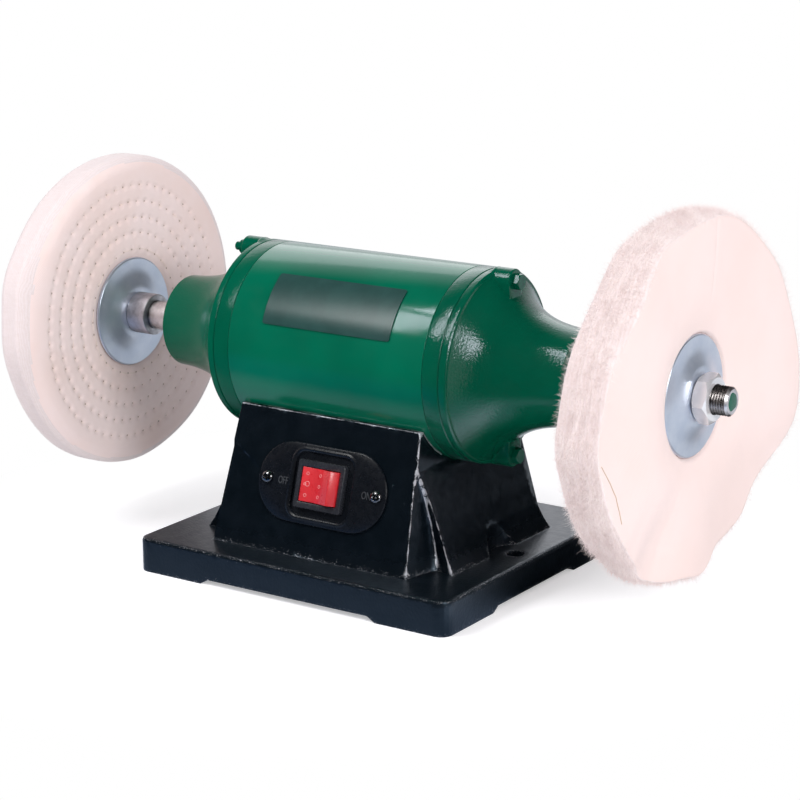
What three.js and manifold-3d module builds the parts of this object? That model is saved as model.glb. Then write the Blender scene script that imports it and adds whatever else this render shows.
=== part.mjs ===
// Bench buffing machine: a motor with an arbor at each end, standing on a cast pedestal.
// Millimetres. The origin is the middle of the base's underside, +Z is up, +X runs along the
// arbor towards the loose buff, and -Y is the front, where the switch is.
import * as THREE from "three";
import { mergeVertices } from "three/addons/utils/BufferGeometryUtils.js";
import Module from "manifold-3d";

const wasm = await Module();
wasm.setup();

// Driving dimensions
const axisHeight = 125;
const seat = 0.3;
const running = 0.5;
const overrun = 3;
const overlap = 0.5;
const weld = 1e-4;
const sides = { fine: 36, large: 28, medium: 24, small: 16, tiny: 8 };

const base = {
  width: 208.6,
  depth: 182.5,
  height: 19.6,
  cornerRadius: 7,
  edgeRadius: 1.6,
  rimWall: 9,
  topWall: 7,
  footLift: 3,
  footSlope: 5,
  footWidth: 45,
  footDepth: 48,
  padSize: 20,
};
const bench = { boltRadius: 5.2, spacing: 183.4, bossRadius: 10, scallopRadius: 16 };
const pedestal = {
  topWidth: 121,
  topDepth: 95.6,
  rimDrop: 29.7,
  footWidth: 133.6,
  footDepth: 141.2,
  sideWidth: 166.8,
  sideDepth: 106.2,
  fluteDrop: 20.3,
  cornerBevel: 1.2,
  fluteInset: 3.2,
  fluteSink: 6.6,
  wall: 5,
};
const shell = { radius: 54, wall: 2.5, length: 130 };
const bell = {
  length: 70.5,
  skirt: 10.4,
  grooveWidth: 0.8,
  grooveDepth: 0.8,
  rim: 4.8,
  rimChamfer: 0.9,
  flareStep: 2,
  noseRadius: 26.8,
  noseChamfer: 1.2,
  boreGap: 0.9,
  spigot: 5,
  wall: 4.5,
  sealGap: 5.5,
  sealDepth: 4.2,
};
const lug = { radius: 6.8, length: 15.5, root: 12 };
const tieBolt = { radius: 2.5, acrossFlats: 8, headHeight: 4, nutHeight: 4, tail: 3.4 };
const bearing = { bore: 17, outer: 40, width: 12, ball: 6.75, balls: 8, ringWall: 3.7 };
const washer = { width: 4.6, thickness: 0.5, wave: 0.3, waves: 3 };
const shaft = {
  standoff: 25.8,
  arborRadius: 7.9,
  tail: 9.5,
  rotorRadius: 10,
  tipChamfer: 1.1,
  centreRadius: 2.6,
  centreDepth: 3.6,
};
const stator = { length: 64, bore: 30.5, slots: 12, slotDepth: 12, slotWidth: 8, notchGap: 0.9 };
const winding = { boreGap: 2.5, shellGap: 6.1, length: 23, round: 4 };
const rotor = { length: 64, airGap: 0.5, ringInset: 1.5, ringWidth: 8.5, ringLength: 7 };
const fan = { blades: 8, width: 1.6, length: 8 };

const sleeve = { outer: 24.6, length: 13.4 };
const flange = { radius: 32.9, thickness: 2, dish: 3.6, bossRadius: 14.5, rimWidth: 6 };
const nut = { acrossFlats: 24, height: 8.4, chamfer: 1.4 };
const clampGrip = 21.2;
const buffSeat = { gap: 0.7, rise: 9 };
const sewnBuff = {
  radius: 95.5,
  innerBulge: 0.4,
  outerBulge: 4.2,
  shoulder: 12,
  shoulderDepth: 6,
};
const looseBuff = {
  radius: 98.5,
  innerBulge: 0.2,
  outerBulge: 4.8,
  edge: 3,
  radiusWave: 3,
  nearWave: 6,
  farWave: 4,
};
// Waviness of the loose buff, going from the top round to the front, as shares of its waves.
const looseRadiusShares = [-0.5, -0.7, 0, 0.67, 0, -0.4, -0.2, -0.4, 0, 0.67, 0, -0.7];
const looseNearShares = [0.35, 0.1, -0.2, -0.85, 0, 0, -0.3, -0.75, -0.3, 1, 0.5, 0.1];
const looseFarShares = [0.8, 0.8, 0, -0.9, -0.8, -0.2, 0.3, -0.3, 0.3, 1, 0.6, 0.6];

const nameplate = { length: 85, arc: 31.4, thickness: 0.5, topAngle: 36.2 };
const motorBolt = { radius: 4, headRadius: 6.5, headHeight: 5, spacing: 66 };
const leadHole = { radius: 7, bushWall: 2, bushFlange: 1.6 };

const panel = { width: 86, height: 44.5, thickness: 1.5, rise: 40.7, offset: 3.3 };
const surround = { gapX: 1.15, gapY: 1.7, wall: 3, lift: 2.6, corner: 6 };
const switchCase = {
  wallX: 1.1,
  wallY: 1.6,
  rimX: 1.1,
  rimY: 2,
  bezelThickness: 2.4,
  corner: 1.5,
  depth: 19,
  bottom: 3,
  lip: 1,
};
const rocker = {
  width: 21.6,
  height: 19,
  travel: 25,
  pivotDepth: 5,
  pinRadius: 1.5,
  pinLength: 1.4,
  keel: 5,
  endClearance: 0.4,
};
const blade = { width: 6.3, thickness: 0.8, length: 8, pitch: 14 };
const plateScrew = { radius: 3.5, headHeight: 2.3, shank: 1.9, length: 9, inset: 6.35 };

const cover = { inset: 15, thickness: 1.5, height: 4.5, padGap: 1.7 };
const coverScrew = { radius: 3.6, headHeight: 1.6, shank: 2, length: 8 };
const coverPost = { radius: 6, inset: 10 };
const capacitor = { radius: 15, length: 54, x: -38, tabWidth: 5, tabLength: 5, tabThickness: 0.9 };
const clamp = { width: 12, thickness: 1.2, foot: 10 };
const clampScrew = { radius: 3, headHeight: 1.8, shank: 1.6, length: 5 };
const terminal = { width: 44, depth: 17, height: 13, x: 22, y: 37, step: 5 };
const earthScrew = { radius: 4, headHeight: 2.6, shank: 2, length: 6, x: 0, y: -44 };
const earthTag = { radius: 5.2, thickness: 0.8, length: 12 };
const gland = {
  x: -40,
  rise: 36,
  flangeRadius: 10.5,
  flangeHeight: 6,
  taper: 2.5,
  shank: 6.8,
  bore: 4.5,
  nutAcrossFlats: 19,
  nutHeight: 4,
};
const lead = { radius: 2.4, slack: 6 };

// Sizes that follow from the ones above
const rimHeight = axisHeight - pedestal.rimDrop;
const fluteTop = rimHeight - pedestal.fluteDrop;
const shellHalf = shell.length / 2;
const bellStart = shellHalf + seat / 2;
const noseEnd = shellHalf + bell.length;
const rimEnd = shellHalf + bell.skirt + bell.rim;
const shellInner = shell.radius - shell.wall;
const bellInner = shell.radius - bell.flareStep - bell.wall;
const boltCircle = shellInner - tieBolt.radius - seat;
const rotorRadius = stator.bore - rotor.airGap;
const bearingInner = bearing.bore / 2;
const bearingOuter = bearing.outer / 2;
const noseBore = bearingInner + bell.boreGap;
const sealRadius = bearingInner + bell.sealGap;
const pocketRadius = bearingOuter + seat;
const pocketEnd = noseEnd - bell.sealDepth - bell.wall;
const bearingEnd = pocketEnd - washer.thickness - washer.wave - seat * 2;
const bearingStart = bearingEnd - bearing.width;
const arborBore = shaft.arborRadius + seat;
const sleeveInnerEnd = noseEnd + shaft.standoff;
const sleeveOuterEnd = sleeveInnerEnd + sleeve.length;
const clampInner = sleeveOuterEnd + seat + flange.dish;
const clampOuter = clampInner + clampGrip;
const flangeInnerFace = clampInner + flange.thickness;
const flangeOuterFace = clampOuter - flange.thickness;
const nutStart = clampOuter + flange.dish + seat;
const shaftHalf = nutStart + nut.height + shaft.tail;
const seatRadius = flange.radius + buffSeat.gap;
const saddleRadius = shell.radius + seat;
const coverTop = cover.height + cover.thickness;
const coverWidth = base.width - (base.rimWall + cover.inset) * 2;
const coverDepth = base.depth - (base.rimWall + cover.inset) * 2;
const postSpacingX = coverWidth - coverPost.inset * 2;
const postSpacingY = coverDepth - coverPost.inset * 2;
const frontTilt = Math.atan2(
  (pedestal.footDepth - pedestal.topDepth) / 2,
  rimHeight - base.height,
);
const panelFront = seat + panel.thickness;
const bezelBack = panelFront + seat;
const bezelFront = bezelBack + switchCase.bezelThickness;
const pivotLevel = bezelFront - rocker.pivotDepth;
const plateScrewSpacing = panel.width - plateScrew.inset * 2;
const rockerSlope = THREE.MathUtils.degToRad(rocker.travel / 2);
const rockerTip = rocker.pivotDepth + (rocker.width / 2) * Math.tan(rockerSlope);
const rockerReach = Math.hypot(rocker.width / 2, rockerTip);
const caseWidth = (rockerReach + rocker.endClearance + switchCase.wallX) * 2;
const caseHeight = rocker.height + (rocker.endClearance + switchCase.wallY) * 2;
const bezelWidth = caseWidth + switchCase.rimX * 2;
const bezelHeight = caseHeight + switchCase.rimY * 2;
const turnedPi = Math.PI;

// Finishes
const paint = (color, roughness, metalness) =>
  new THREE.MeshStandardMaterial({ color, roughness, metalness, flatShading: true });
const finish = {
  greenPaint: paint(0x0b6b50, 0.35, 0.2),
  blackPaint: paint(0x101417, 0.4, 0.2),
  plateGreen: paint(0x2f4a44, 0.4, 0.1),
  zinc: paint(0xc4ccd6, 0.3, 0.9),
  steel: paint(0x8f8a88, 0.35, 0.9),
  darkSteel: paint(0x4b4f52, 0.5, 0.8),
  copper: paint(0xb56a3a, 0.45, 0.6),
  aluminium: paint(0xb9bdc1, 0.45, 0.8),
  brass: paint(0xc8a657, 0.4, 0.8),
  blackPlastic: paint(0x15171a, 0.5, 0),
  redPlastic: paint(0xd4202e, 0.3, 0),
  rubber: paint(0x1b1c1d, 0.8, 0),
  greyPlastic: paint(0xd5d6d2, 0.5, 0),
  sewnCotton: paint(0xe9dad4, 0.95, 0),
  looseCotton: paint(0xf6e4dc, 0.95, 0),
};

// Solids and booleans
function manifoldOf(geometry) {
  const bare = new THREE.BufferGeometry();
  bare.setAttribute("position", geometry.getAttribute("position"));
  bare.setIndex(geometry.getIndex());
  const merged = mergeVertices(bare, weld);
  const vertProperties = new Float32Array(merged.getAttribute("position").array);
  const triVerts = new Uint32Array(merged.getIndex().array);
  const made = new wasm.Manifold(new wasm.Mesh({ numProp: 3, vertProperties, triVerts }));
  if (made.volume() > 0) return made;
  for (let i = 0; i < triVerts.length; i += 3) {
    [triVerts[i + 1], triVerts[i + 2]] = [triVerts[i + 2], triVerts[i + 1]];
  }
  return new wasm.Manifold(new wasm.Mesh({ numProp: 3, vertProperties, triVerts }));
}

function geometryOf(manifold) {
  const mesh = manifold.getMesh();
  const geometry = new THREE.BufferGeometry();
  const positions = new Float32Array(mesh.numVert * 3);
  for (let i = 0; i < mesh.numVert; i += 1) {
    const at = i * mesh.numProp;
    positions.set(mesh.vertProperties.subarray(at, at + 3), i * 3);
  }
  geometry.setAttribute("position", new THREE.BufferAttribute(positions, 3));
  geometry.setIndex(new THREE.BufferAttribute(new Uint32Array(mesh.triVerts), 1));
  return geometry;
}

function join(first, ...rest) {
  let whole = manifoldOf(first);
  for (const part of rest) whole = whole.add(manifoldOf(part));
  return geometryOf(whole);
}

function cut(body, ...cutters) {
  let left = manifoldOf(body);
  for (const cutter of cutters) left = left.subtract(manifoldOf(cutter));
  return geometryOf(left);
}

function common(first, second) {
  return geometryOf(manifoldOf(first).intersect(manifoldOf(second)));
}

// Basic shapes
function slab(x0, x1, y0, y1, z0, z1) {
  const box = new THREE.BoxGeometry(x1 - x0, y1 - y0, z1 - z0);
  return box.translate((x0 + x1) / 2, (y0 + y1) / 2, (z0 + z1) / 2);
}

function centredSlab(width, depth, z0, z1) {
  return slab(-width / 2, width / 2, -depth / 2, depth / 2, z0, z1);
}

function rod(radius, start, end, count) {
  const bar = new THREE.CylinderGeometry(radius, radius, end - start, count);
  return bar.rotateZ(-Math.PI / 2).translate((start + end) / 2, 0, 0);
}

function post(radius, bottom, top, count) {
  const bar = new THREE.CylinderGeometry(radius, radius, top - bottom, count);
  return bar.rotateX(Math.PI / 2).translate(0, 0, (bottom + top) / 2);
}

// A closed profile of [place along the axis, radius] pairs, turned round X or Z.
function turnedX(profile, count) {
  const points = profile.map(([along, radius]) => new THREE.Vector2(radius, along));
  return new THREE.LatheGeometry(points, count).rotateZ(-Math.PI / 2);
}

function turnedZ(profile, count) {
  const points = profile.map(([along, radius]) => new THREE.Vector2(radius, along));
  return new THREE.LatheGeometry(points, count).rotateX(Math.PI / 2);
}

function ringProfile(inner, outer, start, end) {
  return [
    [start, inner],
    [start, outer],
    [end, outer],
    [end, inner],
    [start, inner],
  ];
}

function roundedRectangle(width, height, radius) {
  const x = width / 2;
  const y = height / 2;
  const shape = new THREE.Shape();
  shape.moveTo(radius - x, -y);
  shape.lineTo(x - radius, -y);
  shape.absarc(x - radius, radius - y, radius, -Math.PI / 2, 0, false);
  shape.lineTo(x, y - radius);
  shape.absarc(x - radius, y - radius, radius, 0, Math.PI / 2, false);
  shape.lineTo(radius - x, y);
  shape.absarc(radius - x, y - radius, radius, Math.PI / 2, Math.PI, false);
  shape.lineTo(-x, radius - y);
  shape.absarc(radius - x, radius - y, radius, Math.PI, Math.PI * 1.5, false);
  return shape;
}

function extruded(shape, bottom, top, steps) {
  const settings = { depth: top - bottom, bevelEnabled: false, curveSegments: steps };
  return new THREE.ExtrudeGeometry(shape, settings).translate(0, 0, bottom);
}

// Rings of equally many points, joined in order and closed by a fan at each end.
function loft(rings) {
  const count = rings[0].length;
  const positions = rings.flatMap((ring) => ring.flatMap((p) => [p.x, p.y, p.z]));
  const triangles = [];
  for (let r = 0; r + 1 < rings.length; r += 1) {
    for (let i = 0; i < count; i += 1) {
      const a = r * count + i;
      const b = r * count + ((i + 1) % count);
      triangles.push(a, b, b + count, a, b + count, a + count);
    }
  }
  const closeEnd = (ring, first, flip) => {
    const middle = positions.length / 3;
    const centre = ring.reduce((sum, p) => sum.add(p), new THREE.Vector3()).divideScalar(count);
    positions.push(centre.x, centre.y, centre.z);
    for (let i = 0; i < count; i += 1) {
      const a = first + i;
      const b = first + ((i + 1) % count);
      triangles.push(...(flip ? [b, a, middle] : [a, b, middle]));
    }
  };
  closeEnd(rings[0], 0, true);
  closeEnd(rings[rings.length - 1], (rings.length - 1) * count, false);
  const geometry = new THREE.BufferGeometry();
  geometry.setAttribute("position", new THREE.BufferAttribute(new Float32Array(positions), 3));
  geometry.setIndex(triangles);
  return geometry;
}

const mix = (a, b, share) => a + (b - a) * share;

// A periodic smooth curve through equally spaced shares.
function around(shares, turn) {
  const place = turn * shares.length;
  const first = Math.floor(place);
  const t = place - first;
  const at = (k) => shares[(k + shares.length) % shares.length];
  const [p0, p1, p2, p3] = [at(first - 1), at(first), at(first + 1), at(first + 2)];
  const linear = p2 - p0;
  const square = 2 * p0 - 5 * p1 + 4 * p2 - p3;
  const cubic = 3 * p1 - p0 - 3 * p2 + p3;
  return (2 * p1 + linear * t + square * t * t + cubic * t * t * t) / 2;
}

// Hexagon head or nut round Z, its top edge turned down to a chamfer.
function hexagon(acrossFlats, bottom, top, chamfer, count) {
  const cornerRadius = acrossFlats / Math.sqrt(3);
  const block = post(cornerRadius, bottom, top, 6);
  const flat = acrossFlats / 2 - chamfer / 2;
  const cone = turnedZ(
    [
      [bottom - overrun, 0],
      [bottom - overrun, cornerRadius + overrun],
      [top - chamfer, cornerRadius + overrun],
      [top - chamfer, cornerRadius],
      [top, flat],
      [top, 0],
    ],
    count,
  );
  return common(block, cone);
}

// Screw along Z: its domed head stands on z = 0 and its shank runs down from it.
function panScrew({ radius, headHeight, shank, length }, count) {
  const crown = headHeight * 0.4;
  return turnedZ(
    [
      [-length, 0],
      [-length, shank],
      [0, shank],
      [0, radius],
      [headHeight - crown, radius],
      [headHeight, radius / 2],
      [headHeight, 0],
    ],
    count,
  );
}

// Base and pedestal
function plateOutline(inset, z) {
  const shape = roundedRectangle(
    base.width - inset * 2,
    base.depth - inset * 2,
    base.cornerRadius - inset,
  );
  return shape.getPoints(2).slice(0, -1).map((p) => new THREE.Vector3(p.x, p.y, z));
}

function basePlate() {
  const edge = base.edgeRadius;
  const shoulder = edge * (1 - Math.SQRT1_2);
  return loft([
    plateOutline(0, 0),
    plateOutline(0, base.height - edge),
    plateOutline(shoulder, base.height - shoulder),
    plateOutline(edge, base.height),
  ]);
}

// Half width and half depth of the pedestal's four-sided form at height z.
function pedestalHalf(z) {
  const rise = (z - base.height) / (rimHeight - base.height);
  return {
    x: mix(pedestal.footWidth, pedestal.topWidth, rise) / 2,
    y: mix(pedestal.footDepth, pedestal.topDepth, rise) / 2,
  };
}

// Where the side face meets the corner flute at height z.
function sideCorner(z) {
  const half = pedestalHalf(z);
  const flute = Math.max(0, (fluteTop - z) / (fluteTop - base.height));
  const skirtShare = 0.2;
  const spread = (1 - skirtShare) * flute + skirtShare * flute ** 6;
  const reach = (pedestal.sideWidth - pedestal.footWidth) / 2;
  const narrowing = (pedestal.footDepth - pedestal.sideDepth) / 2;
  return {
    flute,
    x: half.x + reach * spread,
    y: half.y - narrowing * Math.sin((Math.min(flute, 1) * Math.PI) / 2),
  };
}

function pedestalRing(z) {
  const half = pedestalHalf(z);
  const side = sideCorner(z);
  const front = new THREE.Vector2(half.x - pedestal.cornerBevel, half.y);
  const flank = new THREE.Vector2(side.x, side.y - pedestal.cornerBevel);
  const outside = new THREE.Vector2(half.x, half.y);
  const inside = new THREE.Vector2(
    front.x + pedestal.fluteInset * side.flute,
    flank.y - pedestal.fluteSink * side.flute,
  );
  const bend = Math.min(1, side.flute * 4);
  const pull = outside.lerp(inside, bend);
  const corner = new THREE.CubicBezierCurve(front, pull, pull, flank).getPoints(5);
  const quadrant = (sx, sy, points) => points.map((p) => new THREE.Vector3(sx * p.x, sy * p.y, z));
  const back = [...corner].reverse();
  return [
    ...quadrant(1, -1, corner),
    ...quadrant(1, 1, back),
    ...quadrant(-1, 1, corner),
    ...quadrant(-1, -1, back),
  ];
}

function pedestalBody() {
  const foot = base.height;
  const span = fluteTop - foot;
  const levelShares = [0, 0.1, 0.25, 0.45, 0.7, 0.9, 1];
  const rings = levelShares.map((share) => pedestalRing(foot + span * share));
  const root = pedestalRing(foot).map((p) => p.setZ(foot - overlap));
  return loft([root, ...rings, pedestalRing(rimHeight)]);
}

function boxRing(halfX, halfY, z) {
  return [
    new THREE.Vector3(-halfX, -halfY, z),
    new THREE.Vector3(halfX, -halfY, z),
    new THREE.Vector3(halfX, halfY, z),
    new THREE.Vector3(-halfX, halfY, z),
  ];
}

// The hollow of the pedestal: two tapered boxes that cross, kept clear of the saddle.
function pedestalHollow() {
  const wallAlongY = pedestal.wall / Math.cos(frontTilt);
  const heights = [base.height, mix(base.height, fluteTop, 0.3), fluteTop];
  const levels = [...heights, rimHeight];
  const lengthways = levels.map((z) => {
    const half = pedestalHalf(z);
    return boxRing(half.x - pedestal.cornerBevel - pedestal.wall, half.y - wallAlongY, z);
  });
  const crossways = levels.map((z) => {
    const side = sideCorner(z);
    const depth = side.y - pedestal.cornerBevel - pedestal.fluteSink * side.flute - wallAlongY;
    return boxRing(side.x - wallAlongY, depth, z);
  });
  const drop = (rings) => [rings[0].map((p) => p.clone().setZ(-overrun)), ...rings];
  const room = join(loft(drop(lengthways)), loft(drop(crossways)));
  const arch = rod(
    saddleRadius + pedestal.wall,
    -pedestal.sideWidth,
    pedestal.sideWidth,
    sides.fine,
  ).translate(0, 0, axisHeight);
  const scallopWalls = benchPairs(() =>
    post(bench.scallopRadius + pedestal.wall, -overrun * 2, axisHeight, sides.medium),
  );
  return cut(room, arch, ...scallopWalls);
}

// Trapezoid bar along Y that lifts the underside between two feet.
function footArch(halfSpan, reach) {
  const low = halfSpan + base.footSlope;
  const arch = new THREE.Shape([
    new THREE.Vector2(-low - base.footSlope, -base.footLift),
    new THREE.Vector2(low + base.footSlope, -base.footLift),
    new THREE.Vector2(halfSpan, base.footLift),
    new THREE.Vector2(-halfSpan, base.footLift),
  ]);
  return extruded(arch, -reach, reach, 1).rotateX(Math.PI / 2);
}

function placedInPairs(make, spacingX, spacingY) {
  const places = [];
  for (const sx of [-1, 1]) {
    for (const sy of [-1, 1]) {
      places.push(make().translate((sx * spacingX) / 2, (sy * spacingY) / 2, 0));
    }
  }
  return places;
}

function benchPairs(make) {
  return [-1, 1].map((sx) => make().translate((sx * bench.spacing) / 2, 0, 0));
}

function underside() {
  const inside = base.height - base.topWall;
  const width = base.width - base.rimWall * 2;
  const depth = base.depth - base.rimWall * 2;
  const pad = () => centredSlab(base.padSize, base.padSize, -overrun * 2, inside + overrun);
  const keep = [
    ...placedInPairs(pad, width - base.padSize + overrun, depth - base.padSize + overrun),
    ...placedInPairs(
      () => post(coverPost.radius, coverTop + seat, inside + overrun, sides.small),
      postSpacingX,
      postSpacingY,
    ),
    ...benchPairs(() => post(bench.bossRadius, -overrun, inside + overrun, sides.small)),
  ];
  return cut(centredSlab(width, depth, -overrun, inside), ...keep);
}

function baseCasting() {
  const inside = base.height - base.topWall;
  const footSpanX = base.width / 2 - base.footWidth - base.footSlope;
  const footSpanY = base.depth / 2 - base.footDepth - base.footSlope;
  const reach = base.width;
  const body = join(basePlate(), pedestalBody());
  const saddle = rod(saddleRadius, -reach, reach, sides.fine).translate(0, 0, axisHeight);
  const postHoles = placedInPairs(
    () => post(coverScrew.shank + seat, -overrun, cover.height + coverScrew.length, sides.tiny),
    postSpacingX,
    postSpacingY,
  );
  const switchHole = centredSlab(
    caseWidth + seat * 2,
    caseHeight + seat * 2,
    -pedestal.wall - overrun,
    overrun,
  );
  const switchScrews = [-1, 1].map((side) =>
    post(plateScrew.shank + seat, -pedestal.wall - overrun, overrun, sides.tiny).translate(
      (side * plateScrewSpacing) / 2,
      0,
      0,
    ),
  );
  const glandHole = post(gland.shank + seat, -pedestal.wall - overrun, overrun, sides.small);
  const floorHoles = [-1, 1].map((side) =>
    post(motorBolt.radius + seat, base.height, axisHeight, sides.small).translate(
      (side * motorBolt.spacing) / 2,
      0,
      0,
    ),
  );
  const leadOpening = post(leadHole.radius, base.height, axisHeight, sides.small);
  return cut(
    body,
    saddle,
    pedestalHollow(),
    underside(),
    footArch(footSpanX, base.depth),
    footArch(footSpanY, base.width).rotateZ(Math.PI / 2),
    ...benchPairs(() => post(bench.boltRadius, -overrun, axisHeight, sides.small)),
    ...benchPairs(() => post(bench.scallopRadius, base.height, axisHeight, sides.medium)),
    ...postHoles,
    switchHole.applyMatrix4(frontFace()),
    ...switchScrews.map((hole) => hole.applyMatrix4(frontFace())),
    glandHole.applyMatrix4(rearFace()),
    ...floorHoles,
    leadOpening,
  );
}

// Frames on the sloping front and rear faces: X stays X and Z points out of the face.
function faceFrame(turn, x, rise, sign) {
  const foot = new THREE.Vector3(x, (sign * pedestal.footDepth) / 2, base.height);
  const alongY = -sign * Math.sin(frontTilt) * rise;
  const frame = new THREE.Matrix4().makeRotationX(turn);
  return frame.setPosition(foot.x, foot.y + alongY, foot.z + Math.cos(frontTilt) * rise);
}

function frontFace() {
  return faceFrame(Math.PI / 2 - frontTilt, panel.offset, panel.rise, -1);
}

function rearFace() {
  return faceFrame(frontTilt - Math.PI / 2, gland.x, gland.rise, 1);
}

// Cover under the base, and what stands on it
function coverSheet() {
  const padBite = Math.max(base.padSize - overrun / 2 - cover.inset, 0);
  const corner = (padBite * Math.SQRT2 + cover.padGap) / (Math.SQRT2 - 1);
  const outline = roundedRectangle(coverWidth, coverDepth, corner);
  const sheet = extruded(outline, cover.height, coverTop, 2);
  const through = (radius) => post(radius, 0, base.height, sides.tiny);
  const clampAt = capacitorClampReach();
  return cut(
    sheet,
    ...placedInPairs(
      () => through(coverScrew.shank + seat),
      postSpacingX,
      postSpacingY,
    ),
    ...[-1, 1].map((side) =>
      through(clampScrew.shank + seat).translate(capacitor.x + side * clampAt, 0, 0),
    ),
    through(earthScrew.shank + seat).translate(earthScrew.x, earthScrew.y, 0),
    through(clampScrew.shank + seat).translate(terminal.x, terminal.y, 0),
  );
}

function capacitorClampReach() {
  return capacitor.radius + seat + clamp.thickness + clamp.foot / 2;
}

function capacitorCan() {
  const half = capacitor.length / 2;
  const can = turnedX(
    [
      [-half, 0],
      [-half, capacitor.radius - clamp.thickness],
      [clamp.thickness - half, capacitor.radius],
      [half - clamp.thickness, capacitor.radius],
      [half, capacitor.radius - clamp.thickness],
      [half, 0],
    ],
    sides.medium,
  );
  const tab = (y) =>
    slab(
      half - overlap,
      half + capacitor.tabLength,
      y - capacitor.tabThickness / 2,
      y + capacitor.tabThickness / 2,
      -capacitor.tabWidth / 2,
      capacitor.tabWidth / 2,
    );
  return join(can, tab(-capacitor.radius / 2), tab(capacitor.radius / 2)).rotateZ(Math.PI / 2);
}

// Strap over the capacitor, with a foot on each side, in the capacitor's own frame.
function capacitorClamp() {
  const inner = capacitor.radius + seat;
  const outer = inner + clamp.thickness;
  const floor = -capacitor.radius;
  const half = clamp.width / 2;
  const hoop = turnedX(ringProfile(inner, outer, -half, half), sides.medium).rotateZ(Math.PI / 2);
  const arch = cut(hoop, slab(-outer * 2, outer * 2, -outer, outer, -outer * 2, 0));
  const legs = [-1, 1].flatMap((side) => {
    const leg = slab(inner, outer, -half, half, floor, overlap);
    const foot = slab(inner, outer + clamp.foot, -half, half, floor, floor + clamp.thickness);
    return side > 0 ? [leg, foot] : [leg.rotateZ(Math.PI), foot.rotateZ(Math.PI)];
  });
  const holes = [-1, 1].map((side) =>
    post(clampScrew.shank + seat, floor - overrun, overrun, sides.tiny).translate(
      side * capacitorClampReach(),
      0,
      0,
    ),
  );
  const trimmed = holes.map((hole) => common(hole, slab(
    -outer * 2, outer * 2, -half, half, floor - overrun, floor + clamp.thickness + overrun,
  )));
  return cut(join(arch, ...legs), ...trimmed);
}

function terminalBlock() {
  const { width, depth, height, step } = terminal;
  const lower = centredSlab(width, depth, 0, height - step);
  const upper = centredSlab(width, depth / 2, height - step - overlap, height);
  const hole = post(clampScrew.shank + seat, -overrun, height + overrun, sides.tiny);
  return cut(join(lower, upper), hole);
}

function earthRing() {
  const ring = post(earthTag.radius, 0, earthTag.thickness, sides.small);
  const tail = slab(0, earthTag.length, -earthTag.radius / 2, earthTag.radius / 2, 0, earthTag.thickness);
  return cut(join(ring, tail), post(earthScrew.shank + seat, -overrun, overrun, sides.tiny));
}

// Motor: shell, end bells and tie bolts, all round X
function motorShell() {
  const tube = turnedX(ringProfile(shellInner, shell.radius, -shellHalf, shellHalf), sides.fine);
  const down = (radius, x) => post(radius, -shell.radius - overrun, 0, sides.small).translate(x, 0, 0);
  return cut(
    tube,
    down(motorBolt.radius + seat, motorBolt.spacing / 2),
    down(motorBolt.radius + seat, -motorBolt.spacing / 2),
    down(leadHole.radius, 0),
  );
}

// The bell's flare, from the rim down to the nose.
function flareCurve() {
  const start = new THREE.Vector2(rimEnd, shell.radius - bell.flareStep);
  const end = new THREE.Vector2(noseEnd - bell.noseChamfer, bell.noseRadius);
  const run = end.x - start.x;
  const drop = start.y - end.y;
  const firstPullShares = { along: 0.18, down: 0.48 };
  const secondPullShares = { along: 0.4, down: 0.97 };
  const pull = ({ along, down }) => new THREE.Vector2(start.x + run * along, start.y - drop * down);
  return new THREE.CubicBezierCurve(start, pull(firstPullShares), pull(secondPullShares), end);
}

function bellProfile() {
  const grooveStart = shellHalf + bell.skirt - bell.grooveWidth / 2;
  const grooveEnd = grooveStart + bell.grooveWidth;
  const bottom = shell.radius - bell.grooveDepth;
  const spigotRadius = shellInner - seat;
  const flare = flareCurve().getPoints(6).map((p) => [p.x, p.y]);
  return [
    [bellStart - bell.spigot, bellInner],
    [bellStart - bell.spigot, spigotRadius],
    [bellStart, spigotRadius],
    [bellStart, shell.radius],
    [grooveStart, shell.radius],
    [grooveStart + bell.grooveWidth / 2, bottom],
    [grooveEnd, shell.radius],
    [rimEnd - bell.rimChamfer, shell.radius],
    [rimEnd, shell.radius - bell.rimChamfer],
    ...flare,
    [noseEnd, bell.noseRadius - bell.noseChamfer],
    [noseEnd, noseBore],
    [noseEnd - bell.wall, noseBore],
    [noseEnd - bell.wall, sealRadius],
    [pocketEnd, sealRadius],
    [pocketEnd, pocketRadius],
    [bearingStart - seat, pocketRadius],
    [bearingStart - seat, pocketRadius + bell.flareStep],
    [rimEnd - bell.flareStep, bellInner],
    [bellStart - bell.spigot, bellInner],
  ];
}

// Boss for one tie bolt, blended down to the flare.
function lugBoss(up) {
  const start = rimEnd - bell.flareStep;
  const end = shellHalf + bell.skirt + lug.length;
  const round = rod(lug.radius, start, end, sides.small).translate(0, 0, up * boltCircle);
  const web = slab(start, end, -lug.radius, lug.radius, boltCircle - lug.root, boltCircle);
  return up > 0 ? join(round, web) : join(round, web.rotateX(Math.PI));
}

function endBell() {
  const body = turnedX(bellProfile(), sides.large);
  const channel = (up) =>
    rod(tieBolt.radius + seat, 0, noseEnd, sides.tiny).translate(0, 0, up * boltCircle);
  return cut(join(body, lugBoss(1), lugBoss(-1)), channel(1), channel(-1));
}

function tieBoltEnd() {
  return shellHalf + bell.skirt + lug.length + seat;
}

function tieBoltGeometry() {
  const end = tieBoltEnd();
  const tail = end + tieBolt.nutHeight + tieBolt.tail;
  const chamfer = tieBolt.headHeight / 4;
  const head = hexagon(tieBolt.acrossFlats, 0, tieBolt.headHeight, chamfer, sides.tiny);
  const placed = head.rotateY(Math.PI / 2).translate(end, 0, 0);
  return join(rod(tieBolt.radius, -tail, end + overlap, sides.tiny), placed);
}

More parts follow.
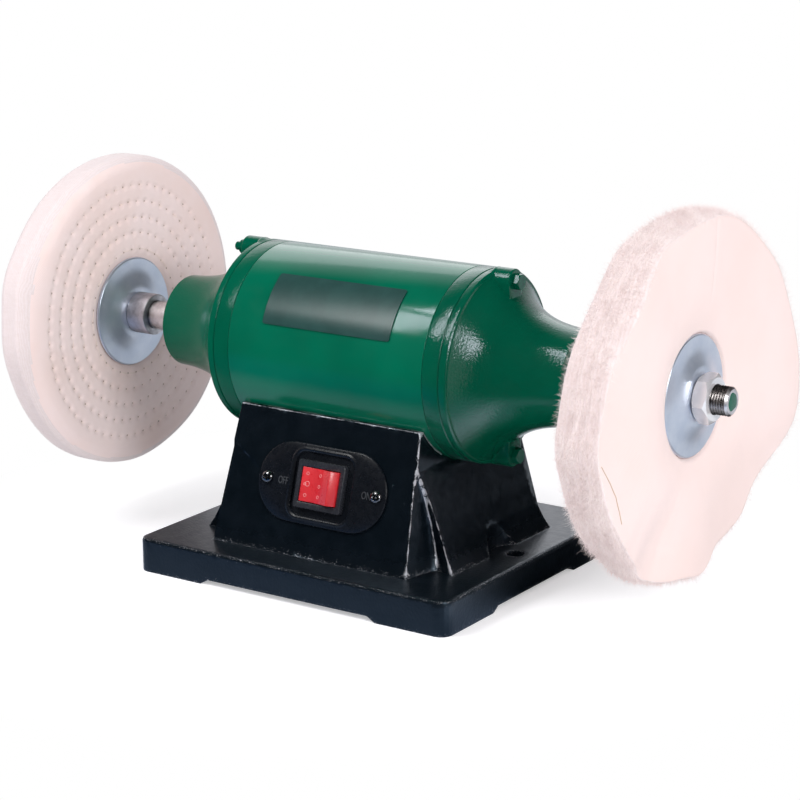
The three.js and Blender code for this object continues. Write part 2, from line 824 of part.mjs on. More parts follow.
function tieNutGeometry() {
  const chamfer = tieBolt.nutHeight / 4;
  const body = hexagon(tieBolt.acrossFlats, 0, tieBolt.nutHeight, chamfer, sides.tiny);
  const hole = post(tieBolt.radius + seat, -overrun, tieBolt.nutHeight + overrun, sides.tiny);
  return cut(body, hole).rotateY(-Math.PI / 2).translate(-tieBoltEnd(), 0, 0);
}

// Nameplate: a bare curved sheet on the front of the shell.
function nameplateSheet() {
  const inner = shell.radius + seat;
  const outer = inner + nameplate.thickness;
  const start = Math.PI - THREE.MathUtils.degToRad(nameplate.topAngle);
  const end = start - nameplate.arc / shell.radius;
  const shape = new THREE.Shape();
  shape.absarc(0, 0, outer, start, end, true);
  shape.absarc(0, 0, inner, end, start, false);
  const sheet = extruded(shape, -nameplate.length / 2, nameplate.length / 2, 4);
  return sheet.rotateZ(-Math.PI / 2).rotateY(Math.PI / 2).rotateX(Math.PI);
}

// Stator, windings and rotor
function statorCore() {
  const half = stator.length / 2;
  const outer = shellInner - seat;
  const ring = turnedX(ringProfile(stator.bore, outer, -half, half), sides.large);
  const slots = Array.from({ length: stator.slots }, (_, i) => {
    const depth = stator.bore + stator.slotDepth;
    const reach = half + overrun;
    const slot = slab(-reach, reach, -stator.slotWidth / 2, stator.slotWidth / 2, 0, depth);
    return slot.rotateX(((i + 1 / 2) * 2 * Math.PI) / stator.slots);
  });
  const notch = (up) =>
    rod(tieBolt.radius + stator.notchGap, -stator.length, stator.length, sides.tiny).translate(
      0,
      0,
      up * boltCircle,
    );
  return cut(ring, ...slots, notch(1), notch(-1));
}

function endWinding() {
  const start = stator.length / 2 + seat;
  const end = start + winding.length;
  const round = winding.round;
  const inner = stator.bore + winding.boreGap;
  const outer = shellInner - winding.shellGap;
  return turnedX(
    [
      [start, inner],
      [start, outer],
      [end - round, outer],
      [end, outer - round],
      [end, inner + round],
      [end - round, inner],
      [start, inner],
    ],
    sides.small,
  );
}

function rotorCore() {
  const half = rotor.length / 2;
  return turnedX(ringProfile(shaft.rotorRadius + seat, rotorRadius, -half, half), sides.large);
}

function rotorRing() {
  const start = rotor.length / 2 + seat;
  const end = start + rotor.ringLength;
  const outer = rotorRadius - rotor.ringInset;
  const inner = outer - rotor.ringWidth;
  const ring = turnedX(ringProfile(inner, outer, start, end), sides.small);
  const blades = Array.from({ length: fan.blades }, (_, i) => {
    const half = fan.width / 2;
    const low = mix(inner, outer, 1 / 4);
    const high = mix(inner, outer, 3 / 4);
    const vane = slab(end - overlap, end + fan.length, -half, half, low, high);
    return vane.rotateX((i * 2 * Math.PI) / fan.blades);
  });
  return join(ring, ...blades);
}

// Shaft and bearings
function shaftBar() {
  const half = shaftHalf;
  const journal = bearingInner;
  const shoulder = bearingStart - seat;
  const arbor = sleeveInnerEnd - seat;
  const right = [
    [shoulder, shaft.rotorRadius],
    [shoulder, journal],
    [arbor, journal],
    [arbor, shaft.arborRadius],
    [half - shaft.tipChamfer, shaft.arborRadius],
    [half, shaft.arborRadius - shaft.tipChamfer],
    [half, shaft.centreRadius],
    [half - shaft.centreDepth, 0],
  ];
  const left = right.map(([along, radius]) => [-along, radius]).reverse();
  return turnedX([...left, ...right], sides.small);
}

function raceProfile(inner, outer, grooveRadius, grooveOutside) {
  const middle = (bearingStart + bearingEnd) / 2;
  const halfGroove = bearing.ball / 2 + seat;
  const groove = [
    [middle - halfGroove, 0],
    [middle - halfGroove / 2, 1],
    [middle + halfGroove / 2, 1],
    [middle + halfGroove, 0],
  ];
  const edge = grooveOutside ? outer : inner;
  const dip = groove.map(([along, deep]) => [along, mix(edge, grooveRadius, deep)]);
  return grooveOutside
    ? [[bearingStart, inner], [bearingStart, outer], ...dip, [bearingEnd, outer], [bearingEnd, inner], [bearingStart, inner]]
    : [[bearingStart, inner], [bearingStart, outer], [bearingEnd, outer], [bearingEnd, inner], ...dip.reverse(), [bearingStart, inner]];
}

const pitchRadius = (bearingInner + bearingOuter) / 2;

function innerRace() {
  const inner = bearingInner + seat;
  const outer = bearingInner + bearing.ringWall;
  return turnedX(raceProfile(inner, outer, pitchRadius - bearing.ball / 2 - running, true), sides.small);
}

function outerRace() {
  const inner = bearingOuter - bearing.ringWall;
  const groove = pitchRadius + bearing.ball / 2 + running;
  return turnedX(raceProfile(inner, bearingOuter, groove, false), sides.small);
}

function ballSet() {
  const middle = (bearingStart + bearingEnd) / 2;
  const cageHalf = bearing.ball / 5;
  const cageWall = bearing.ball / 8;
  const cage = turnedX(
    ringProfile(pitchRadius - cageWall, pitchRadius + cageWall, middle - cageHalf, middle + cageHalf),
    sides.small,
  );
  const balls = Array.from({ length: bearing.balls }, (_, i) => {
    const ball = new THREE.SphereGeometry(bearing.ball / 2, 6, 4);
    const angle = (i * 2 * Math.PI) / bearing.balls;
    return ball.translate(middle, 0, pitchRadius).rotateX(angle);
  });
  return join(cage, ...balls);
}

function waveWasher() {
  const outer = bearingOuter - seat;
  const shape = new THREE.Shape();
  shape.absarc(0, 0, outer, 0, Math.PI * 2, false);
  const hole = new THREE.Path();
  hole.absarc(0, 0, outer - washer.width, 0, Math.PI * 2, true);
  shape.holes.push(hole);
  const ring = extruded(shape, 0, washer.thickness, sides.medium / 2);
  const position = ring.getAttribute("position");
  for (let i = 0; i < position.count; i += 1) {
    const turn = Math.atan2(position.getY(i), position.getX(i));
    const lift = (washer.wave * (1 + Math.cos(turn * washer.waves))) / 2;
    position.setZ(i, position.getZ(i) + lift);
  }
  return ring.rotateY(Math.PI / 2).translate(bearingEnd + seat, 0, 0);
}

// Arbor ends
function sleeveTube() {
  const profile = ringProfile(arborBore, sleeve.outer / 2, sleeveInnerEnd, sleeveOuterEnd);
  return turnedX(profile, sides.medium);
}

// Dished flange: its flat rim bears on the buff at x = 0, and its boss stands out along +X.
function dishedFlange() {
  const { radius, thickness, dish, bossRadius, rimWidth } = flange;
  const rim = radius - rimWidth;
  return turnedX(
    [
      [0, rim],
      [0, radius],
      [thickness, radius],
      [thickness, rim],
      [thickness + dish, bossRadius],
      [thickness + dish, arborBore],
      [dish, arborBore],
      [dish, bossRadius],
      [0, rim],
    ],
    sides.medium,
  );
}

function arborNut() {
  const body = hexagon(nut.acrossFlats, 0, nut.height, nut.chamfer, sides.medium);
  const hole = post(arborBore, -overrun, nut.height + overrun, sides.medium);
  return cut(body, hole).rotateY(Math.PI / 2).translate(nutStart, 0, 0);
}

// Sewn buff: a stiff cotton disc with soft round shoulders.
function sewnBuffDisc() {
  const { radius, innerBulge, outerBulge, shoulder, shoulderDepth } = sewnBuff;
  const nearFace = clampInner - innerBulge;
  const farFace = clampOuter + outerBulge;
  const near = flangeInnerFace + seat;
  const far = flangeOuterFace - seat;
  const bend = Math.SQRT1_2;
  return turnedX(
    [
      [near, arborBore],
      [near, seatRadius],
      [nearFace, seatRadius + buffSeat.rise],
      [nearFace, radius - shoulder],
      [nearFace + shoulderDepth * (1 - bend), radius - shoulder * (1 - bend)],
      [nearFace + shoulderDepth, radius],
      [farFace - shoulderDepth, radius],
      [farFace - shoulderDepth * (1 - bend), radius - shoulder * (1 - bend)],
      [farFace, radius - shoulder],
      [farFace, seatRadius + buffSeat.rise],
      [far, seatRadius],
      [far, arborBore],
      [near, arborBore],
    ],
    sides.fine,
  );
}

// Loose buff: a floppy disc whose rim and faces wave.
function looseBuffSection(turn) {
  const { radius, edge, radiusWave, nearWave, farWave } = looseBuff;
  const nearFace = clampOuter + looseBuff.outerBulge;
  const farFace = clampInner - looseBuff.innerBulge;
  const reach = radius + radiusWave * around(looseRadiusShares, turn);
  const near = nearFace + nearWave * around(looseNearShares, turn);
  const far = farFace + farWave * around(looseFarShares, turn);
  const foot = seatRadius + buffSeat.rise;
  const half = foot + (reach - foot) / 2;
  return [
    [flangeInnerFace + seat, arborBore],
    [flangeInnerFace + seat, seatRadius],
    [farFace, foot],
    [mix(farFace, far, 0.5), half],
    [far, reach - edge],
    [far + edge, reach],
    [near - edge, reach],
    [near, reach - edge],
    [mix(nearFace, near, 0.5), half],
    [nearFace, foot],
    [flangeOuterFace - seat, seatRadius],
    [flangeOuterFace - seat, arborBore],
  ];
}

function looseBuffDisc() {
  const count = sides.fine;
  const sections = Array.from({ length: count }, (_, i) => looseBuffSection(i / count));
  const points = sections[0].length;
  const positions = sections.flatMap((section, i) => {
    const angle = (i * 2 * Math.PI) / count;
    return section.flatMap(([x, r]) => [x, -r * Math.sin(angle), r * Math.cos(angle)]);
  });
  const triangles = [];
  for (let i = 0; i < count; i += 1) {
    for (let j = 0; j < points; j += 1) {
      const next = (j + 1) % points;
      const here = i * points;
      const there = ((i + 1) % count) * points;
      triangles.push(here + j, there + j, there + next, here + j, there + next, here + next);
    }
  }
  const geometry = new THREE.BufferGeometry();
  geometry.setAttribute("position", new THREE.BufferAttribute(new Float32Array(positions), 3));
  geometry.setIndex(triangles);
  return geometryOf(manifoldOf(geometry));
}

// Motor bolts, bush and leads
function motorBoltGeometry() {
  const top = axisHeight - shellInner - seat;
  const saddleBottom = axisHeight - saddleRadius - pedestal.wall;
  const headTop = saddleBottom - seat;
  const flats = motorBolt.headRadius * Math.sqrt(3);
  const head = hexagon(flats, 0, motorBolt.headHeight, seat, sides.tiny);
  const placed = head.translate(0, 0, headTop - motorBolt.headHeight);
  return join(post(motorBolt.radius, headTop - overlap, top, sides.small), placed);
}

function leadBush() {
  const outer = leadHole.radius - seat;
  const inner = outer - leadHole.bushWall;
  const top = axisHeight - shellInner;
  const bottom = axisHeight - saddleRadius - pedestal.wall - seat;
  const lip = bottom - leadHole.bushFlange;
  return turnedZ(
    [
      [lip, inner],
      [lip, outer + leadHole.bushFlange],
      [bottom, outer + leadHole.bushFlange],
      [bottom, outer],
      [top, outer],
      [top, inner],
      [lip, inner],
    ],
    sides.small,
  );
}

function leadTube(points) {
  const curve = new THREE.CatmullRomCurve3(points);
  const section = new THREE.Shape();
  section.absarc(0, 0, lead.radius, 0, Math.PI * 2, false);
  return new THREE.ExtrudeGeometry(section, { steps: 10, extrudePath: curve, curveSegments: 4 });
}

function motorLead() {
  const top = axisHeight - shellInner;
  const blockTop = coverTop + seat + terminal.height + seat;
  const x = terminal.x - terminal.width / 4;
  return leadTube([
    new THREE.Vector3(0, 0, top),
    new THREE.Vector3(0, 0, top - leadHole.radius * 3),
    new THREE.Vector3(x / 2, terminal.y * 0.6, blockTop + lead.slack * 3),
    new THREE.Vector3(x, terminal.y, blockTop + lead.slack),
    new THREE.Vector3(x, terminal.y, blockTop),
  ]);
}

function capacitorLead() {
  const level = coverTop + seat + terminal.height / 2;
  const high = coverTop + seat + capacitor.radius;
  const start = capacitor.length / 2 + capacitor.tabLength + seat;
  const end = terminal.x - terminal.width / 2 - seat;
  const y = terminal.y + terminal.depth / 4;
  return leadTube([
    new THREE.Vector3(capacitor.x + capacitor.radius / 2, start, high),
    new THREE.Vector3(capacitor.x + capacitor.radius / 2, start + lead.slack, high),
    new THREE.Vector3(capacitor.x + capacitor.radius, start + lead.slack * 2, high - lead.slack),
    new THREE.Vector3(end - lead.slack * 2, y, level - lead.slack / 3),
    new THREE.Vector3(end - lead.slack, y, level - lead.slack / 3),
    new THREE.Vector3(end, y, level - lead.slack / 3),
  ]);
}

// Switch, in the frame of the sloping front face
function switchPanel() {
  const stadium = roundedRectangle(panel.width, panel.height, panel.height / 2 - weld);
  const plate = extruded(stadium, seat, panelFront, 4);
  const wellWidth = bezelWidth + surround.gapX * 2;
  const wellHeight = bezelHeight + surround.gapY * 2;
  const rimOutside = roundedRectangle(
    wellWidth + surround.wall * 2,
    wellHeight + surround.wall * 2,
    surround.corner,
  );
  const rim = extruded(rimOutside, panelFront - overlap, panelFront + surround.lift, 2);
  const inner = roundedRectangle(wellWidth, wellHeight, surround.corner - surround.wall);
  const well = extruded(inner, panelFront, panelFront + surround.lift + overrun, 2);
  const window = centredSlab(
    caseWidth + seat * 2,
    caseHeight + seat * 2,
    -overrun,
    panelFront + overrun,
  );
  const holes = [-1, 1].map((side) =>
    post(plateScrew.shank + seat, -overrun, overrun * 2, sides.tiny).translate(
      (side * plateScrewSpacing) / 2,
      0,
      0,
    ),
  );
  return cut(join(plate, cut(rim, well)), window, ...holes);
}

function switchBody() {
  const bezel = extruded(
    roundedRectangle(bezelWidth, bezelHeight, switchCase.corner),
    bezelBack,
    bezelFront,
    1,
  );
  const block = centredSlab(
    caseWidth,
    caseHeight,
    bezelFront - overlap - switchCase.depth,
    bezelBack + overlap,
  );
  const wellWidth = (rockerReach + rocker.endClearance) * 2;
  const wellHeight = rocker.height + rocker.endClearance * 2;
  const wellBottom = bezelFront - switchCase.depth + switchCase.bottom;
  const well = centredSlab(wellWidth, wellHeight, wellBottom, bezelFront - switchCase.lip);
  const lipRise = rocker.pivotDepth - switchCase.lip;
  const lipReach = Math.sqrt(rockerReach ** 2 - lipRise ** 2);
  const mouthWidth = (lipReach + rocker.endClearance) * 2;
  const mouth = centredSlab(mouthWidth, wellHeight, wellBottom, bezelFront + overrun);
  const pinHole = post(
    rocker.pinRadius + seat,
    -rocker.height / 2 - rocker.pinLength - seat,
    rocker.height / 2 + rocker.pinLength + seat,
    sides.tiny,
  )
    .rotateX(Math.PI / 2)
    .translate(0, 0, pivotLevel);
  return cut(join(bezel, block), well, mouth, pinHole);
}

// Rocker about its pivot at the origin, in its middle position, with the pins along Y.
function rockerCap() {
  const half = rocker.width / 2;
  const top = rocker.pivotDepth;
  const tip = rockerTip;
  const reach = rockerReach;
  const lowAngle = Math.asin(-rocker.keel / 2 / reach);
  const highAngle = Math.atan2(tip, half);
  const shape = new THREE.Shape();
  shape.moveTo(0, top);
  shape.lineTo(-half, tip);
  shape.absarc(0, 0, reach, Math.PI - highAngle, Math.PI - lowAngle, false);
  shape.lineTo(-rocker.keel, -rocker.keel);
  shape.lineTo(rocker.keel, -rocker.keel);
  shape.absarc(0, 0, reach, lowAngle, highAngle, false);
  shape.lineTo(0, top);
  const cap = extruded(shape, -rocker.height / 2, rocker.height / 2, 2);
  const pins = post(
    rocker.pinRadius,
    -rocker.height / 2 - rocker.pinLength,
    rocker.height / 2 + rocker.pinLength,
    sides.tiny,
  );
  return join(cap, pins).rotateX(Math.PI / 2);
}

function terminalBlade() {
  const bottom = bezelFront - overlap - switchCase.depth - seat;
  const half = blade.width / 2;
  return slab(-blade.thickness / 2, blade.thickness / 2, -half, half, bottom - blade.length, bottom);
}

// Cable gland, in the frame of the sloping rear face
function glandBody() {
  const tail = pedestal.wall + seat * 2 + gland.nutHeight + seat;
  return turnedZ(
    [
      [-tail, gland.bore],
      [-tail, gland.shank],
      [seat, gland.shank],
      [seat, gland.flangeRadius],
      [seat + gland.flangeHeight / 2, gland.flangeRadius],
      [seat + gland.flangeHeight, gland.flangeRadius - gland.taper],
      [seat + gland.flangeHeight, gland.bore],
      [-tail, gland.bore],
    ],
    sides.small,
  );
}

function glandNut() {
  const top = -pedestal.wall - seat;
  const body = hexagon(gland.nutAcrossFlats, 0, gland.nutHeight, seat * 2, sides.tiny);
  const hole = post(gland.shank + seat, -overrun, gland.nutHeight + overrun, sides.small);
  return cut(body, hole).rotateX(Math.PI).translate(0, 0, top);
}

// Assembly
const buffer = new THREE.Group();
const motor = new THREE.Group();
motor.position.z = axisHeight;
const arbor = new THREE.Group();
motor.add(arbor);
buffer.add(motor);

function add(name, geometry, material, parent) {
  const mesh = new THREE.Mesh(geometry, material);
  mesh.name = name;
  parent.add(mesh);
  return mesh;
}

function addBase() {
  add("base_casting", baseCasting(), finish.blackPaint, buffer);
  add("bottom_cover", coverSheet(), finish.zinc, buffer);
  const screw = panScrew(coverScrew, sides.tiny);
  let number = 0;
  for (const sx of [-1, 1]) {
    for (const sy of [-1, 1]) {
      number += 1;
      const mesh = add(`cover_screw_${number}`, screw, finish.zinc, buffer);
      const x = (sx * postSpacingX) / 2;
      mesh.position.set(x, (sy * postSpacingY) / 2, cover.height - seat);
      mesh.rotation.x = Math.PI;
    }
  }
}

function addElectrics() {
  const can = new THREE.Group();
  can.position.set(capacitor.x, 0, coverTop + seat + capacitor.radius);
  buffer.add(can);
  add("capacitor", capacitorCan(), finish.greyPlastic, can);
  const strap = add("capacitor_clamp", capacitorClamp(), finish.zinc, can);
  strap.position.z = 0;
  const footTop = coverTop + seat + clamp.thickness + seat;
  for (const [name, side] of [["left", -1], ["right", 1]]) {
    const mesh = add(`clamp_screw_${name}`, panScrew(clampScrew, sides.tiny), finish.zinc, buffer);
    mesh.position.set(capacitor.x + side * capacitorClampReach(), 0, footTop);
  }
  const block = add("terminal_block", terminalBlock(), finish.greyPlastic, buffer);
  block.position.set(terminal.x, terminal.y, coverTop + seat);
  const blockScrewLength = terminal.height + clampScrew.length;
  const blockScrew = panScrew({ ...clampScrew, length: blockScrewLength }, sides.tiny);
  const screw = add("terminal_block_screw", blockScrew, finish.zinc, buffer);
  screw.position.set(terminal.x, terminal.y, coverTop + seat * 2 + terminal.height);
  const tag = add("earth_tag", earthRing(), finish.brass, buffer);
  tag.position.set(earthScrew.x, earthScrew.y, coverTop + seat);
  const earth = add("earth_screw", panScrew(earthScrew, sides.tiny), finish.brass, buffer);
  earth.position.set(earthScrew.x, earthScrew.y, coverTop + seat * 2 + earthTag.thickness);
  add("motor_lead", motorLead(), finish.rubber, buffer);
  add("capacitor_lead", capacitorLead(), finish.rubber, buffer);
}

function addMotor() {
  add("motor_shell", motorShell(), finish.greenPaint, motor);
  add("end_bell_right", endBell(), finish.greenPaint, motor);
  add("end_bell_left", endBell(), finish.greenPaint, motor).rotation.z = turnedPi;
  for (const [name, up] of [["top", 1], ["bottom", -1]]) {
    const bolt = add(`tie_bolt_${name}`, tieBoltGeometry(), finish.greenPaint, motor);
    bolt.position.z = up * boltCircle;
    const tieNut = add(`tie_nut_${name}`, tieNutGeometry(), finish.greenPaint, motor);
    tieNut.position.z = up * boltCircle;
  }
  add("nameplate", nameplateSheet(), finish.plateGreen, motor);
  add("stator_core", statorCore(), finish.darkSteel, motor);
  add("winding_right", endWinding(), finish.copper, motor);
  add("winding_left", endWinding(), finish.copper, motor).rotation.z = turnedPi;
  add("bearing_outer_race_right", outerRace(), finish.steel, motor);
  add("bearing_outer_race_left", outerRace(), finish.steel, motor).rotation.z = turnedPi;
  add("wave_washer", waveWasher(), finish.steel, motor).rotation.z = turnedPi;
  for (const [name, side] of [["left", -1], ["right", 1]]) {
    const bolt = add(`motor_bolt_${name}`, motorBoltGeometry(), finish.zinc, buffer);
    bolt.position.x = (side * motorBolt.spacing) / 2;
  }
  add("lead_bush", leadBush(), finish.rubber, buffer);
}

function addArbor() {
  add("arbor_shaft", shaftBar(), finish.steel, arbor);
  add("rotor_core", rotorCore(), finish.darkSteel, arbor);
  for (const [name, turn] of [["right", 0], ["left", turnedPi]]) {
    const end = new THREE.Group();
    end.rotation.z = turn;
    arbor.add(end);
    add(`rotor_ring_${name}`, rotorRing(), finish.aluminium, end);
    add(`bearing_inner_race_${name}`, innerRace(), finish.steel, end);
    add(`bearing_balls_${name}`, ballSet(), finish.steel, end);
    add(`sleeve_${name}`, sleeveTube(), finish.steel, end);
    const inner = add(`inner_flange_${name}`, dishedFlange(), finish.zinc, end);
    inner.rotation.z = turnedPi;
    inner.position.x = flangeInnerFace;
    const outer = add(`outer_flange_${name}`, dishedFlange(), finish.zinc, end);
    outer.position.x = flangeOuterFace;
    add(`arbor_nut_${name}`, arborNut(), finish.zinc, end);
  }
  add("loose_buff", looseBuffDisc(), finish.looseCotton, arbor);
  add("sewn_buff", sewnBuffDisc(), finish.sewnCotton, arbor).rotation.z = turnedPi;
}

function addSwitch() {
  const face = new THREE.Group();
  face.applyMatrix4(frontFace());
  buffer.add(face);
  add("switch_panel", switchPanel(), finish.blackPlastic, face);
  for (const [name, side] of [["left", -1], ["right", 1]]) {
    const screw = add(`panel_screw_${name}`, panScrew(plateScrew, sides.small), finish.darkSteel, face);
    screw.position.set((side * plateScrewSpacing) / 2, 0, panelFront + seat);
  }
  add("switch_body", switchBody(), finish.blackPlastic, face);
  const cap = add("switch_rocker", rockerCap(), finish.redPlastic, face);
  cap.position.z = pivotLevel;
  cap.rotation.y = -rockerSlope;
  for (const [name, side] of [["left", -1], ["right", 1]]) {
    const mesh = add(`switch_terminal_${name}`, terminalBlade(), finish.brass, face);
    mesh.position.x = (side * blade.pitch) / 2;
  }
}

function addGland() {
  const face = new THREE.Group();
  face.applyMatrix4(rearFace());
  buffer.add(face);
  add("cable_gland", glandBody(), finish.rubber, face);
  add("gland_nut", glandNut(), finish.blackPlastic, face);
}

addBase();
addElectrics();
addMotor();
addArbor();
addSwitch();
addGland();

export default buffer;
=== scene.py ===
# %% [markdown]
# # A bench buffer with two cotton buffs
# This script dresses a finished CAD model in Blender. The object is a workshop polishing
# machine: a green motor on a black cast pedestal turns an arbor, which carries a stiff sewn
# buff on the left and a floppy loose buff on the right. The CAD model already has every part at
# its real size. Here each part gets the small shapes and the surface that the eye looks for.
#
# The first step loads that model. It is the frame of reference: it is never moved, and each
# piece made here is tied to one of its moving bodies by name.

# %% Load the CAD model
import math

import bmesh
import bpy
from mathutils import Matrix, Vector, geometry, kdtree


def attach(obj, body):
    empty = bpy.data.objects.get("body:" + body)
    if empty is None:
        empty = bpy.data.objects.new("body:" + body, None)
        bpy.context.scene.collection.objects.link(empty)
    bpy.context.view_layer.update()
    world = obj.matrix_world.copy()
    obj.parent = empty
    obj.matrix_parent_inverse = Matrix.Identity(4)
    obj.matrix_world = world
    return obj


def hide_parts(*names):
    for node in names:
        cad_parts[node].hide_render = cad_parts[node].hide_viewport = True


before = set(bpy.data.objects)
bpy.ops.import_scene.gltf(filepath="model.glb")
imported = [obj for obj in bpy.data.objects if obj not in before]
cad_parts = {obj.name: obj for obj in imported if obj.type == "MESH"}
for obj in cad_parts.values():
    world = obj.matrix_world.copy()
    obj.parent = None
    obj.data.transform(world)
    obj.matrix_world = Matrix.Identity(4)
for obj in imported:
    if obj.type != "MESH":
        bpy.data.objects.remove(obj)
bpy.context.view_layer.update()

# %% [markdown]
# ## Sizes
# All lengths are written in millimetres, as on a workshop drawing, and turned into metres where
# a mesh is made. Blender works in metres. The values repeat those of the CAD source, so that a
# piece made here lands on the solid it stands for without any fitting.

# %% The machine's main sizes
MM = 0.001
AXIS_HEIGHT = 125.0

SHELL_RADIUS, SHELL_HALF, SHELL_WALL = 54.0, 65.0, 2.5
BELL_RIM, NOSE_END, NOSE_RADIUS = 80.2, 135.5, 26.8
GROOVE_PLACE, GROOVE_DEPTH = 75.4, 0.8
BOLT_CIRCLE, LUG_RADIUS, LUG_END = 48.7, 6.8, 90.9
ARBOR_RADIUS, SHAFT_END = 7.9, 221.6
CLAMP_INNER, CLAMP_OUTER = 178.6, 199.8
FLANGE_RADIUS, FLANGE_SHEET, FLANGE_DISH = 32.9, 2.0, 3.6
NUT_START, NUT_HEIGHT = 203.7, 8.4
SEWN_RADIUS, LOOSE_RADIUS = 95.5, 98.5
print("shaft, end to end:", 2 * SHAFT_END, "mm")

# %% [markdown]
# ## Camera
# The photograph was taken with a long lens from the right front, a little above the machine.
# The place and the turn were solved from edges whose real length is known. A long lens means
# a camera far away, which keeps the two buffs nearly the same size in the picture.

# %% Place the camera
YAW, PITCH, ROLL = math.radians(34.09), math.radians(14.69), math.radians(-0.36)
CAMERA_PLACE = (0.74654, -1.08095, 0.4390)
FOCAL_LENGTH, SENSOR_WIDTH = 107.64, 36.0


def put(name, data):
    """An object that shows a mesh, a lamp or a camera in the scene."""
    made = bpy.data.objects.new(name, data)
    bpy.context.scene.collection.objects.link(made)
    return made


def camera_turn(yaw, pitch, roll):
    level = math.cos(pitch)
    back = Vector((math.sin(yaw) * level, -math.cos(yaw) * level, math.sin(pitch)))
    right = Vector((math.cos(yaw), math.sin(yaw), 0))
    up = back.cross(right)
    across = right * math.cos(roll) + up * math.sin(roll)
    over = up * math.cos(roll) - right * math.sin(roll)
    return Matrix((across, over, back)).transposed()


lens = bpy.data.cameras.new("camera")
lens.lens, lens.sensor_width, lens.sensor_fit = FOCAL_LENGTH, SENSOR_WIDTH, "HORIZONTAL"
camera = put("camera", lens)
camera.matrix_world = camera_turn(YAW, PITCH, ROLL).to_4x4()
camera.location = CAMERA_PLACE
bpy.context.scene.camera = camera
print("camera is", round(camera.location.length, 2), "m from the machine's foot")

# %% [markdown]
# ## Helpers for nodes
# A material and a Geometry Nodes tree are both graphs of nodes. Wiring one by hand takes three
# lines for each node: make it, set it, link it. This helper does the three at once. A value that
# is itself a socket is linked, and any other value is typed into the input.

# %% Add a node and wire it
def add_node(tree, kind, inputs=None, **settings):
    made = tree.nodes.new(kind)
    for name, value in settings.items():
        setattr(made, name, value)
    for key, value in (inputs or {}).items():
        if isinstance(value, bpy.types.NodeSocket):
            tree.links.new(value, made.inputs[key])
        else:
            made.inputs[key].default_value = value
    return made


def calculate(tree, operation, *values):
    inputs = dict(enumerate(values))
    return add_node(tree, "ShaderNodeMath", inputs, operation=operation).outputs[0]


def calculate_vectors(tree, operation, *values, output=0):
    inputs = dict(enumerate(values))
    return add_node(tree, "ShaderNodeVectorMath", inputs, operation=operation).outputs[output]


def remap(tree, value, low, high, new_low=0.0, new_high=1.0):
    inputs = dict(enumerate((value, low, high, new_low, new_high)))
    kind = "ShaderNodeMapRange"
    return add_node(tree, kind, inputs, interpolation_type="SMOOTHSTEP").outputs[0]


def axes_of(tree, vector):
    """The X, Y and Z of a vector, as three sockets."""
    return add_node(tree, "ShaderNodeSeparateXYZ", {0: vector}).outputs


def vector_of(tree, x=0.0, y=0.0, z=0.0):
    return add_node(tree, "ShaderNodeCombineXYZ", {0: x, 1: y, 2: z}).outputs[0]


# %% [markdown]
# ## Helpers for surfaces
# Real paint, metal and cloth are never one flat colour. Most of the finishes below use the same
# four ingredients: where we are on the piece, a noise at the scale of the grain, a colour that
# drifts between two tones, and a bump that tilts the surface a little. They read Object
# coordinates, so a pattern stays put when the machine turns or the camera moves.

# %% Ingredients of a finish
def new_finish(name, colour, roughness, metallic=0.0, **constants):
    made = bpy.data.materials.new(name)
    made.use_nodes = True
    shader = made.node_tree.nodes["Principled BSDF"]
    shader.inputs["Base Color"].default_value = (*colour, 1)
    shader.inputs["Roughness"].default_value = roughness
    shader.inputs["Metallic"].default_value = metallic
    for key, value in constants.items():
        shader.inputs[key.replace("_", " ")].default_value = value
    return made, made.node_tree, shader


def feed(shader, socket, value):
    shader.id_data.links.new(value, shader.inputs[socket])


def place_on_piece(tree, stretch=(1, 1, 1)):
    here = add_node(tree, "ShaderNodeTexCoord").outputs["Object"]
    return add_node(tree, "ShaderNodeMapping", {0: here, 3: stretch}).outputs[0]


def grain(tree, place, size_mm, detail=3.0, rough=0.55, twist=0.0):
    inputs = {"Vector": place, "Scale": 1 / (size_mm * MM), "Detail": detail}
    inputs.update({"Roughness": rough, "Distortion": twist})
    return add_node(tree, "ShaderNodeTexNoise", inputs).outputs[0]


def patches(tree, place, size_mm, low=0.0, high=1.0, detail=3.0):
    """A value that drifts between two others from patch to patch."""
    return remap(tree, grain(tree, place, size_mm, detail), 0.3, 0.7, low, high)


def ridges(tree, along, pitch_mm):
    """A sine wave along one axis, such as the lines that a lathe tool leaves."""
    turns = calculate(tree, "MULTIPLY", along, 2 * math.pi / (pitch_mm * MM))
    return calculate(tree, "SINE", turns)


def scaled(colour, share):
    return tuple(share * c for c in colour)


def blend_colours(tree, share, first, second):
    inputs = {0: share, 6: first, 7: second}
    for key in (6, 7):
        if not isinstance(inputs[key], bpy.types.NodeSocket):
            inputs[key] = (*inputs[key], 1)
    return add_node(tree, "ShaderNodeMix", inputs, data_type="RGBA").outputs[2]


def dent(tree, shader, height, depth_mm, strength=1.0, under=None):
    inputs = {"Height": height, "Distance": depth_mm * MM, "Strength": strength}
    if under is not None:
        inputs["Normal"] = under
    normal = add_node(tree, "ShaderNodeBump", inputs).outputs[0]
    feed(shader, "Normal", normal)
    return normal


# %% [markdown]
# ## Green enamel
# The motor is sprayed with glossy enamel. On the rolled shell it lies almost flat. On the cast
# bells it dries over a rougher skin, and the highlight breaks up into fine speckles, which
# painters call orange peel. Both come from one recipe with a different depth of bump. The
# bells' copy is also made darker, as painted shade, since the bells lie in the buffs' shade.

# %% Two kinds of green enamel
GREEN = (0.0003, 0.129, 0.069)


